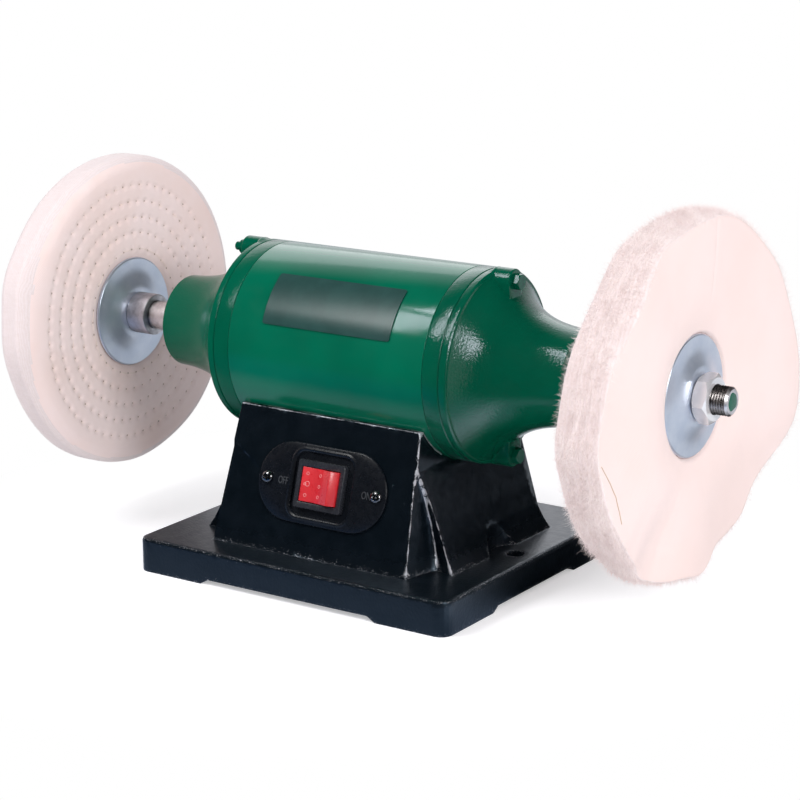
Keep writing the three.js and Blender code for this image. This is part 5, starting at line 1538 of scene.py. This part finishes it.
WELL_STEPS = [math.radians(11.25 * k) for k in range(9)]
plate_levels = [
    (85.4, 43.9, 22, 0.3), (86, 44.5, 22.25, 0.6), (86, 44.5, 22.25, 1.3),
    (85.6, 44.1, 22.05, 1.65), (84.9, 43.4, 21.7, 1.8),
    (45.4, 41.2, 9.0, 1.8), (44.4, 40.4, 8.6, 1.9), (43.5, 39.7, 8.2, 2.15),
]
for t in WELL_STEPS:
    narrower, lower = 4.2 * math.sin(t), 1.85 * (1 - math.cos(t))
    plate_levels.append((42.7 - narrower, 39.0 - narrower, 7.7 - 1.9 * math.sin(t), 2.3 - lower))
plate_levels += [(30.4, 24.2, 0.6, 0.43), (29.8, 23.6, 0.4, 0.4), (29.8, 23.6, 0.4, 0.3)]
plate = make_piece("switch_plate", *loft(plate_levels, True), plate_plastic, 40)
settle(plate, "housing", "black_plastic", "switch_panel")

# %% Mould the switch case with its bezel
case_levels = [
    (28.6, 22.4, 0.6, -14.7), (29.18, 23, 0.8, -14.4), (29.18, 23, 0.8, 0.5),
    (31.0, 26.6, 1.3, 0.5), (31.38, 27, 1.5, 0.8), (31.38, 27, 1.5, 3.9),
    (31.1, 26.7, 1.35, 4.25), (30.5, 26.1, 1.0, 4.5), (26.4, 20.5, 0.7, 4.5),
    (25.9, 20.0, 0.5, 4.35), (25.72, 19.8, 0.4, 4.1), (25.72, 19.8, 0.4, 3.5),
    (26.98, 19.8, 0.4, 3.4), (26.98, 19.8, 0.4, -11.5),
]
bezel_plastic = moulded("black_bezel_plastic", (0.022, 0.024, 0.03), 0.26, 0.3, 0.004)
case = make_piece("switch_case", *loft(case_levels, False), bezel_plastic, 35)
settle(case, "housing", "black_plastic", "switch_body")

# %% [markdown]
# ## Rocker
# The rocker is a shallow V that tips on two pins. In the photograph it rests in OFF: its left
# half lies level with the bezel and its right half stands out. It is cut from one outline, given
# rounded edges with a bevel, and turned about its pins like the real one. Small rings are
# moulded into both halves.

# %% Cut the rocker
ROCKER_TILT = Matrix.Translation((0, 0, -0.5)) @ Matrix.Rotation(math.radians(-12.5), 4, "Y")
CREST, CREST_RISE, FLAT_HALF, MIDDLE_RISE = 10.8, 7.39, 4.2, 5.0
ROCKER_REACH, ROCKER_HALF, ROCKER_SKIRT = 13.09, 9.5, -5
PIN_RADIUS, PIN_HALF = 1.5, 10.9


def rocker_top(across):
    """The thumb face is almost flat in the middle and climbs straight to its two crests."""
    away = abs(across)
    climb = max(0.0, away - FLAT_HALF) * 2.14 / 6.6
    return MIDDLE_RISE + 0.25 * min(1.0, away / FLAT_HALF) ** 2 + climb


def rocker_outline(steps=10):
    low, tip = math.asin(-2.5 / ROCKER_REACH), math.atan2(CREST_RISE, CREST)
    turns = [low + (tip - low) * k / steps for k in range(steps + 1)]
    side = [(ROCKER_REACH * math.cos(a), ROCKER_REACH * math.sin(a)) for a in turns]
    top = [(x, rocker_top(x)) for x in [CREST - 1.35 * k for k in range(1, 16)]]
    skirt = [(ROCKER_SKIRT, ROCKER_SKIRT), (-ROCKER_SKIRT, ROCKER_SKIRT)]
    return top + [(-x, z) for x, z in reversed(side)] + skirt + side


def rocker_shape():
    outline = rocker_outline()
    count = len(outline)
    points = [(x, y, z) for y in (-ROCKER_HALF, ROCKER_HALF) for x, z in outline]
    faces = [tuple(range(count)), tuple(range(2 * count - 1, count - 1, -1))]
    pin, pin_faces = bar(PIN_RADIUS, -PIN_HALF, PIN_HALF, 24)
    turned_pin = stood(pin, Matrix.Rotation(math.pi / 2, 4, "Z"))
    return merged((points, faces + ring_faces(2, count, False)), (turned_pin, pin_faces))


def ease_edges(piece, width, segments, degrees):
    work = bmesh.new()
    work.from_mesh(piece.data)
    folded = [e for e in work.edges if len(e.link_faces) == 2]
    sharp = [e for e in folded if e.calc_face_angle() > math.radians(degrees)]
    bevel_edges(work, sharp, width, segments)
    bmesh.ops.recalc_face_normals(work, faces=work.faces)
    work.to_mesh(piece.data)
    work.free()
    shade_by_angle(piece.data, 40)


rocker = make_piece("red_rocker", *rocker_shape(), rocker_red)
ease_edges(rocker, 0.35, 3, 20)
rocker.data.transform(Matrix.Scale(MM, 4) @ FRONT @ ROCKER_TILT @ Matrix.Scale(1 / MM, 4))
settle(rocker, "rocker", "red_plastic", "switch_rocker")

# %% Mould the marks on the rocker
MARK_TUBE, MARK_LIFT = 0.18, 0.03
MARKS = (
    (-7.4, 6.1, 0.8), (-6.9, 0.4, 1.35), (-8.3, 0.1, 0.7), (-7.4, -6.0, 0.8), (1.7, 6.0, 0.8),
    (1.7, -0.1, 0.8), (1.7, -5.9, 0.8),
)


def ring_mark(radius, tube, matrix, steps=28, tube_steps=8):
    """A thin ring that lies on z = 0, stood in its place."""
    points = []
    for a in circle(steps):
        for b in circle(tube_steps):
            reach = radius + tube * math.cos(b)
            points.append((reach * math.cos(a), reach * math.sin(a), tube * math.sin(b)))
    return stood(points, matrix), ring_faces(steps, tube_steps)


marks = []
for across, rise, radius in MARKS:
    slope = math.atan2(rocker_top(across + 0.1) - rocker_top(across - 0.1), 0.2)
    seat = Matrix.Translation((across, rise, rocker_top(across) + MARK_LIFT))
    seat = seat @ Matrix.Rotation(-slope, 4, "Y")
    marks.append(ring_mark(radius, MARK_TUBE, FRONT @ ROCKER_TILT @ seat))
rocker_marks = make_piece("rocker_marks", *merged(*marks), mark_pink, 60)
settle(rocker_marks, "rocker", "red_plastic")

# %% [markdown]
# ## Letters and plate screws
# OFF and ON are moulded into the plate, a hair proud of it. Each word is a text object that is
# turned into a mesh before it is placed. The two screws are domed with a cross recess: the
# height of each point of the dome is lowered where it falls within one of the two bars of the
# cross.

# %% Mould OFF and ON
LETTER_FOOT, LETTER_DEPTH, LETTER_HEIGHT = 1.7, 0.35, 4.3


def moulded_word(word, across, rise, width):
    letters = bpy.data.curves.new("word", "FONT")
    letters.body, letters.extrude, letters.resolution_u = word, 0.02, 3
    mesh = plain_mesh(put("word", letters))
    low, high = ([pick(v.co[i] for v in mesh.vertices) for i in range(3)] for pick in (min, max))
    points = []
    for vertex in mesh.vertices:
        x, y, z = ((vertex.co[i] - low[i]) / (high[i] - low[i]) for i in range(3))
        sideways, upwards = across + (x - 0.5) * width, rise + (y - 0.5) * LETTER_HEIGHT
        points.append((sideways, upwards, LETTER_FOOT + z * LETTER_DEPTH))
    return stood(points, FRONT), [tuple(f.vertices) for f in mesh.polygons]


words = merged(moulded_word("OFF", -26.0, -0.2, 6.4), moulded_word("ON", 30.1, -0.2, 6.0))
lettering = make_piece("switch_lettering", *words, letter_grey, 30)
settle(lettering, "housing", "black_plastic")


# %% Shape the cross-head screws
HEAD_RADIUS, DOME_HEIGHT, HEAD_EDGE, STEM_RADIUS, STEM_END = 3.5, 2.3, 0.35, 1.9, -8.5
SCREW_ACROSS, SCREW_SEAT = 36.65, 2.1


def ramp(value):
    return max(0.0, min(1.0, value))


def cross_depth(x, y, turn):
    u = abs(x * math.cos(turn) + y * math.sin(turn))
    v = abs(y * math.cos(turn) - x * math.sin(turn))
    bars = ((u, v), (v, u))
    return 1.1 * max(ramp((0.62 - b) / 0.22) * ramp((1.95 - a) / 0.35) for a, b in bars)


def dome_head(turn, columns=72, rows=26):
    rings = [ring(STEM_RADIUS, STEM_END, columns), ring(STEM_RADIUS, 0.0, columns)]
    rings.append(ring(HEAD_RADIUS - 0.2, 0.0, columns))
    for t in (r / rows * math.pi / 2 for r in range(rows)):
        z = HEAD_EDGE + (DOME_HEIGHT - HEAD_EDGE) * math.sin(t)
        level = ring(HEAD_RADIUS * math.cos(t) ** 0.9, z, columns)
        rings.append([(x, y, z - cross_depth(x, y, turn)) for x, y, z in level])
    return close_rings(rings, False)


plate_screw_steel = turned_steel("dark_nickel", (0.3, 0.3, 0.31), 0.18, 0.5, 0.001)
for side, across, turn in (("left", -SCREW_ACROSS, 0.5), ("right", SCREW_ACROSS, 0.15)):
    screw_points, screw_faces = dome_head(turn)
    placed = stood(screw_points, FRONT @ Matrix.Translation((across, 0, SCREW_SEAT)))
    screw = make_piece(f"plate_screw_{side}", placed, screw_faces, plate_screw_steel, 40)
    settle(screw, "housing", "dark_screw", f"panel_screw_{side}")

# %% [markdown]
# ## Cord gland
# The mains lead isn't shown, so there is none, only the gland that it would leave by, low on the
# back of the pedestal. Its collar has grip ribs. A lathe outline with a radius that ripples with
# the angle makes them.

# %% Turn the gland
REAR = Matrix((
    (-1, 0, 0, -40), (0, -SLOPE_SIN, SLOPE_COS, 60.22), (0, SLOPE_COS, SLOPE_SIN, 54.07),
    (0, 0, 0, 1),
))
RIBS, RIB_DEPTH = 20, 0.35
GLAND_OUTLINE = (
    (-9.6, 4.5, 0), (-9.6, 6.8, 0), (0.3, 6.8, 0), (0.3, 10.2, 0), (0.6, 10.5, 0),
    (0.9, 10.5, RIB_DEPTH), (3.0, 10.4, RIB_DEPTH), (3.4, 10.3, 0), (3.9, 10.0, 0), (6.0, 8.4, 0),
    (6.3, 8.0, 0), (6.3, 5.2, 0), (5.6, 4.5, 0),
)


def ribbed_gland(columns=160):
    rings = []
    for z, radius, rib in GLAND_OUTLINE:
        level = []
        for a in circle(columns):
            reach = radius - rib * max(0.0, math.cos(RIBS * a))
            level.append((reach * math.cos(a), reach * math.sin(a), z))
        rings.append(level)
    points, faces = close_rings(rings, True)
    return stood(points, REAR), faces


gland = make_piece("ribbed_gland", *ribbed_gland(), plate_plastic, 35)
settle(gland, "housing", "black_plastic", "cable_gland")

# %% [markdown]
# ## Parts inside the machine
# Nobody sees the inside in the photograph, but the parts are there and can be looked at on
# their own. Their CAD shapes are right, so they keep their meshes and only get real finishes:
# laminated steel, varnished copper wire, cast aluminium, brass, grey plastic and rubber.

# %% Finishes for the inside
def laminated_steel():
    made, tree, shader = new_finish("laminated_steel", (0.16, 0.165, 0.175), 0.42, 0.9)
    place = place_on_piece(tree)
    stain = remap(tree, grain(tree, place, 6, 4), 0.35, 0.7)
    colour = blend_colours(tree, stain, (0.17, 0.175, 0.185), (0.1, 0.095, 0.09))
    feed(shader, "Base Color", colour)
    dent(tree, shader, ridges(tree, axes_of(tree, place)[0], 0.5), 0.02)
    return made


def wound_copper():
    made, tree, shader = new_finish("varnished_copper", (0.55, 0.2, 0.07), 0.3, 0.75)
    strand = grain(tree, place_on_piece(tree, (1, 0.25, 0.25)), 0.9, 2, 0.5, 1.2)
    share = remap(tree, strand, 0.3, 0.7)
    colour = blend_colours(tree, share, (0.3, 0.09, 0.03), (0.66, 0.27, 0.1))
    feed(shader, "Base Color", colour)
    feed(shader, "Roughness", patches(tree, place_on_piece(tree), 3, 0.22, 0.42))
    dent(tree, shader, strand, 0.35)
    return made


lamination = laminated_steel()
copper = wound_copper()
cast_aluminium = moulded("cast_aluminium", (0.55, 0.56, 0.58), 0.42, 0.8, 0.03, Metallic=1.0)
satin_brass = turned_steel("satin_brass", (0.66, 0.45, 0.17), 0.28, 0.4, 0.002)
race_steel = turned_steel("ground_race_steel", (0.58, 0.59, 0.61), 0.16, 0.25, 0.001)
sheet_zinc = moulded("zinc_plated_sheet", (0.5, 0.52, 0.55), 0.34, 2.5, 0.008, Metallic=1.0)
print("made six finishes for the inside")

# %% Give each inner part its finish
INSIDE = (
    (lamination, ("stator_core", "rotor_core")),
    (copper, ("winding_left", "winding_right")),
    (cast_aluminium, ("rotor_ring_left", "rotor_ring_right")),
    (race_steel, ("bearing_inner_race_left", "bearing_inner_race_right", "bearing_outer_race_left",
                  "bearing_outer_race_right", "bearing_balls_left", "bearing_balls_right",
                  "wave_washer")),
    (screw_black, ("motor_bolt_left", "motor_bolt_right")),
    (black_rubber, ("lead_bush", "motor_lead", "capacitor_lead")),
    (pale_plastic, ("capacitor", "terminal_block")),
    (plate_plastic, ("gland_nut",)),
    (sheet_zinc, ("capacitor_clamp", "bottom_cover")),
    (satin_brass, ("earth_screw", "earth_tag", "switch_terminal_left", "switch_terminal_right")),
    (zinc, ("clamp_screw_left", "clamp_screw_right", "terminal_block_screw", "cover_screw_1",
            "cover_screw_2", "cover_screw_3", "cover_screw_4")),
)
finished = {node: finish for finish, nodes in INSIDE for node in nodes}
for node, finish in finished.items():
    for material_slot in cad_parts[node].material_slots:
        material_slot.material = finish
shown = [name for name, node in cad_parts.items() if not node.hide_render]
print(len(finished), "inner parts finished; still plain:", [n for n in shown if n not in finished])

# %% [markdown]
# ## Floor
# The photograph has a pure white background with a soft shadow under the base. The floor is one
# large plane. Close to the machine it is an ordinary pale surface that takes the shadow, and
# with the distance what it shows rises to white. To paint and metal the floor shows painted
# reflections instead. It glows white behind the machine. In front it glows as a pale strip along
# the base and a painted patch of light at its right corner, and then as a dark blue tone, since
# the studio in front of a machine is dark.

# %% The floor's painted reflections for paint and metal
def painted_light_patch(tree, x, y):
    """A bell-shaped patch of painted light beside the base's right front corner, seen only in
    reflections.
    """
    across = calculate(tree, "DIVIDE", calculate(tree, "SUBTRACT", x, 0.155), 0.05)
    deep = calculate(tree, "DIVIDE", calculate(tree, "ADD", y, 0.065), 0.06)
    off = calculate(tree, "MULTIPLY_ADD", across, across, calculate(tree, "MULTIPLY", deep, deep))
    bell = calculate(tree, "POWER", 2.718, calculate(tree, "MULTIPLY", off, -1.0))
    return calculate(tree, "MULTIPLY", bell, remap(tree, x, 0.122, 0.145))


def painted_floor_reflections(tree, place):
    """A sum of soft-edged glowing areas, each with its tone: painted reflections for glossy rays.
    """
    def both(first, second, operation="MULTIPLY"):
        return calculate(tree, operation, first, second)

    x, y = axes_of(tree, place)[:2]
    front = both(y, -1.0)
    in_front = remap(tree, front, 0.0, 0.06)
    strip = remap(tree, front, 0.115, 0.2, 1.0, 0.0)
    painted_dusk = both(remap(tree, front, 0.26, 0.5, 1.0, 0.0), remap(tree, x, -0.05, 0.05, 1.0, 0.0))
    painted_dusk = both(painted_dusk, both(1.0, strip, "SUBTRACT"))
    left_of = both(remap(tree, x, 0.12, 0.06), remap(tree, y, 0.03, 0.12))
    behind = both(left_of, remap(tree, y, 0.14, 0.34), "MAXIMUM")
    at_right = both(remap(tree, x, 0.24, 0.34), remap(tree, y, -0.16, -0.02))
    areas = (
        ((0.42, 0.5, 0.66), both(strip, in_front)),
        ((0.0, 0.11, 0.34), both(painted_dusk, in_front)),
        ((1.5, 1.5, 1.6), painted_light_patch(tree, x, y)),
        ((0.62, 0.65, 0.7), both(behind, at_right, "MAXIMUM")),
    )
    total = (0, 0, 0)
    for tone, strength in areas:
        part = {0: tone, "Scale": strength}
        part = add_node(tree, "ShaderNodeVectorMath", part, operation="SCALE").outputs[0]
        total = calculate_vectors(tree, "ADD", total, part)
    return add_node(tree, "ShaderNodeEmission", {0: total}).outputs[0]


# %% Lay the floor
FLOOR_REACH = 40.0
WHITE = (1, 1, 1, 1)


def seen_and_mirrored(tree):
    """Two shares: rays that come straight or through glass, and rays off a glossy surface."""
    rays = add_node(tree, "ShaderNodeLightPath").outputs
    straight = calculate(tree, "MAXIMUM", rays["Is Camera Ray"], rays["Is Transmission Ray"])
    return straight, rays["Is Glossy Ray"]


def pale_floor():
    made = bpy.data.materials.new("pale_floor")
    made.use_nodes = True
    tree = made.node_tree
    tree.nodes.clear()
    place = add_node(tree, "ShaderNodeTexCoord").outputs["Object"]
    flat = calculate_vectors(tree, "MULTIPLY", place, (1, 1, 0))
    away = calculate_vectors(tree, "LENGTH", flat, output="Value")
    direct, glossy = seen_and_mirrored(tree)
    matt = add_node(tree, "ShaderNodeBsdfDiffuse", {0: (0.86, 0.86, 0.87, 1)}).outputs[0]
    lift = calculate(tree, "MULTIPLY", direct, 0.4)
    glow, white = (
        add_node(tree, "ShaderNodeEmission", {0: WHITE, 1: level}).outputs[0]
        for level in (lift, 1.0)
    )
    lifted = add_node(tree, "ShaderNodeAddShader", {0: matt, 1: glow}).outputs[0]
    share = calculate(tree, "MULTIPLY", direct, remap(tree, away, 0.12, 0.3))
    seen = add_node(tree, "ShaderNodeMixShader", {0: share, 1: lifted, 2: white}).outputs[0]
    # Glossy rays see the floor's painted reflections instead of its lit surface.
    surface = {0: glossy, 1: seen, 2: painted_floor_reflections(tree, place)}
    surface = add_node(tree, "ShaderNodeMixShader", surface).outputs[0]
    add_node(tree, "ShaderNodeOutputMaterial", {"Surface": surface})
    return made


corners = [(x * FLOOR_REACH, y * FLOOR_REACH, 0) for x, y in ((-1, -1), (1, -1), (1, 1), (-1, 1))]
floor_mesh = bpy.data.meshes.new("pale_floor")
floor_mesh.from_pydata(corners, [], [(0, 1, 2, 3)])
floor_mesh.materials.append(pale_floor())
floor = put("pale_floor", floor_mesh)
print("floor spans", 2 * FLOOR_REACH, "m")

# %% [markdown]
# ## Light
# A glossy dark machine is lit by what it mirrors. Four soft boxes are enough. The one in front
# and above draws the pale patch beside the label. The one on the right draws the patch on the
# bell's shoulder, and a small one overhead the patch on its neck. The one behind and to the left
# whitens the tops. The world is a plain soft fill, stronger from the right and from the front,
# and paint mirrors its white only where a backdrop would stand.

# %% Hang the four soft boxes
def soft_box(name, direction, distance, size, level, aim=(0, 0, 0.12)):
    """Level is the brightness of the box's own surface, where 1 is white."""
    lamp = bpy.data.lights.new(name, "AREA")
    lamp.shape, (lamp.size, lamp.size_y) = "RECTANGLE", size
    lamp.energy = math.pi * size[0] * size[1] * level
    holder = put(name, lamp)
    towards = Vector(direction).normalized()
    holder.location = Vector(aim) + towards * distance
    holder.rotation_euler = towards.to_track_quat("Z", "Y").to_euler()
    print(name, "gives", round(lamp.energy, 1), "W")


soft_box("front_box", (-0.42, -0.58, 0.69), 0.97, (0.22, 0.34), 8.8)
soft_box("right_box", (0.86, -0.35, 0.36), 2.0, (0.62, 0.62), 12.5)
soft_box("overhead_box", (-0.39, -0.36, 0.85), 1.2, (0.2, 0.2), 14.0, (0.115, -0.03, 0.15))
soft_box("back_box", (-0.52, 0.68, 0.5), 2.4, (1.9, 1.3), 1.2)


# %% Fill with the world
def soft_world():
    world = bpy.data.worlds.new("soft_world")
    bpy.context.scene.world = world
    world.use_nodes = True
    tree = world.node_tree
    tree.nodes.clear()
    direct, glossy = seen_and_mirrored(tree)
    direction = add_node(tree, "ShaderNodeTexCoord").outputs["Generated"]

    def towards(place, *levels):
        share = calculate_vectors(tree, "DOT_PRODUCT", direction, place, output="Value")
        return remap(tree, share, *levels)

    backdrop = towards((-0.6, 0.7, 0.39), 0.7, 0.95, 0.004, 1.0)
    from_right = towards((0.96, -0.2, 0.2), 0.5, 1.0, 0.2, 0.93)
    from_front = towards((-0.5, -0.7, 0.5), 0.5, 1.0, 0.17, 0.82)
    fill = calculate(tree, "ADD", from_right, from_front)
    change = calculate(tree, "SUBTRACT", backdrop, fill)
    level = calculate(tree, "MULTIPLY_ADD", glossy, change, fill)
    level = calculate(tree, "MAXIMUM", level, direct)
    tint = blend_colours(tree, direct, (0.97, 0.95, 1.0), (1, 1, 1))
    sky = add_node(tree, "ShaderNodeBackground", {0: tint, 1: level}).outputs[0]
    add_node(tree, "ShaderNodeOutputWorld", {"Surface": sky})


soft_world()
bpy.context.scene.view_settings.view_transform = "Standard"
print("the world fills from the right and the front")
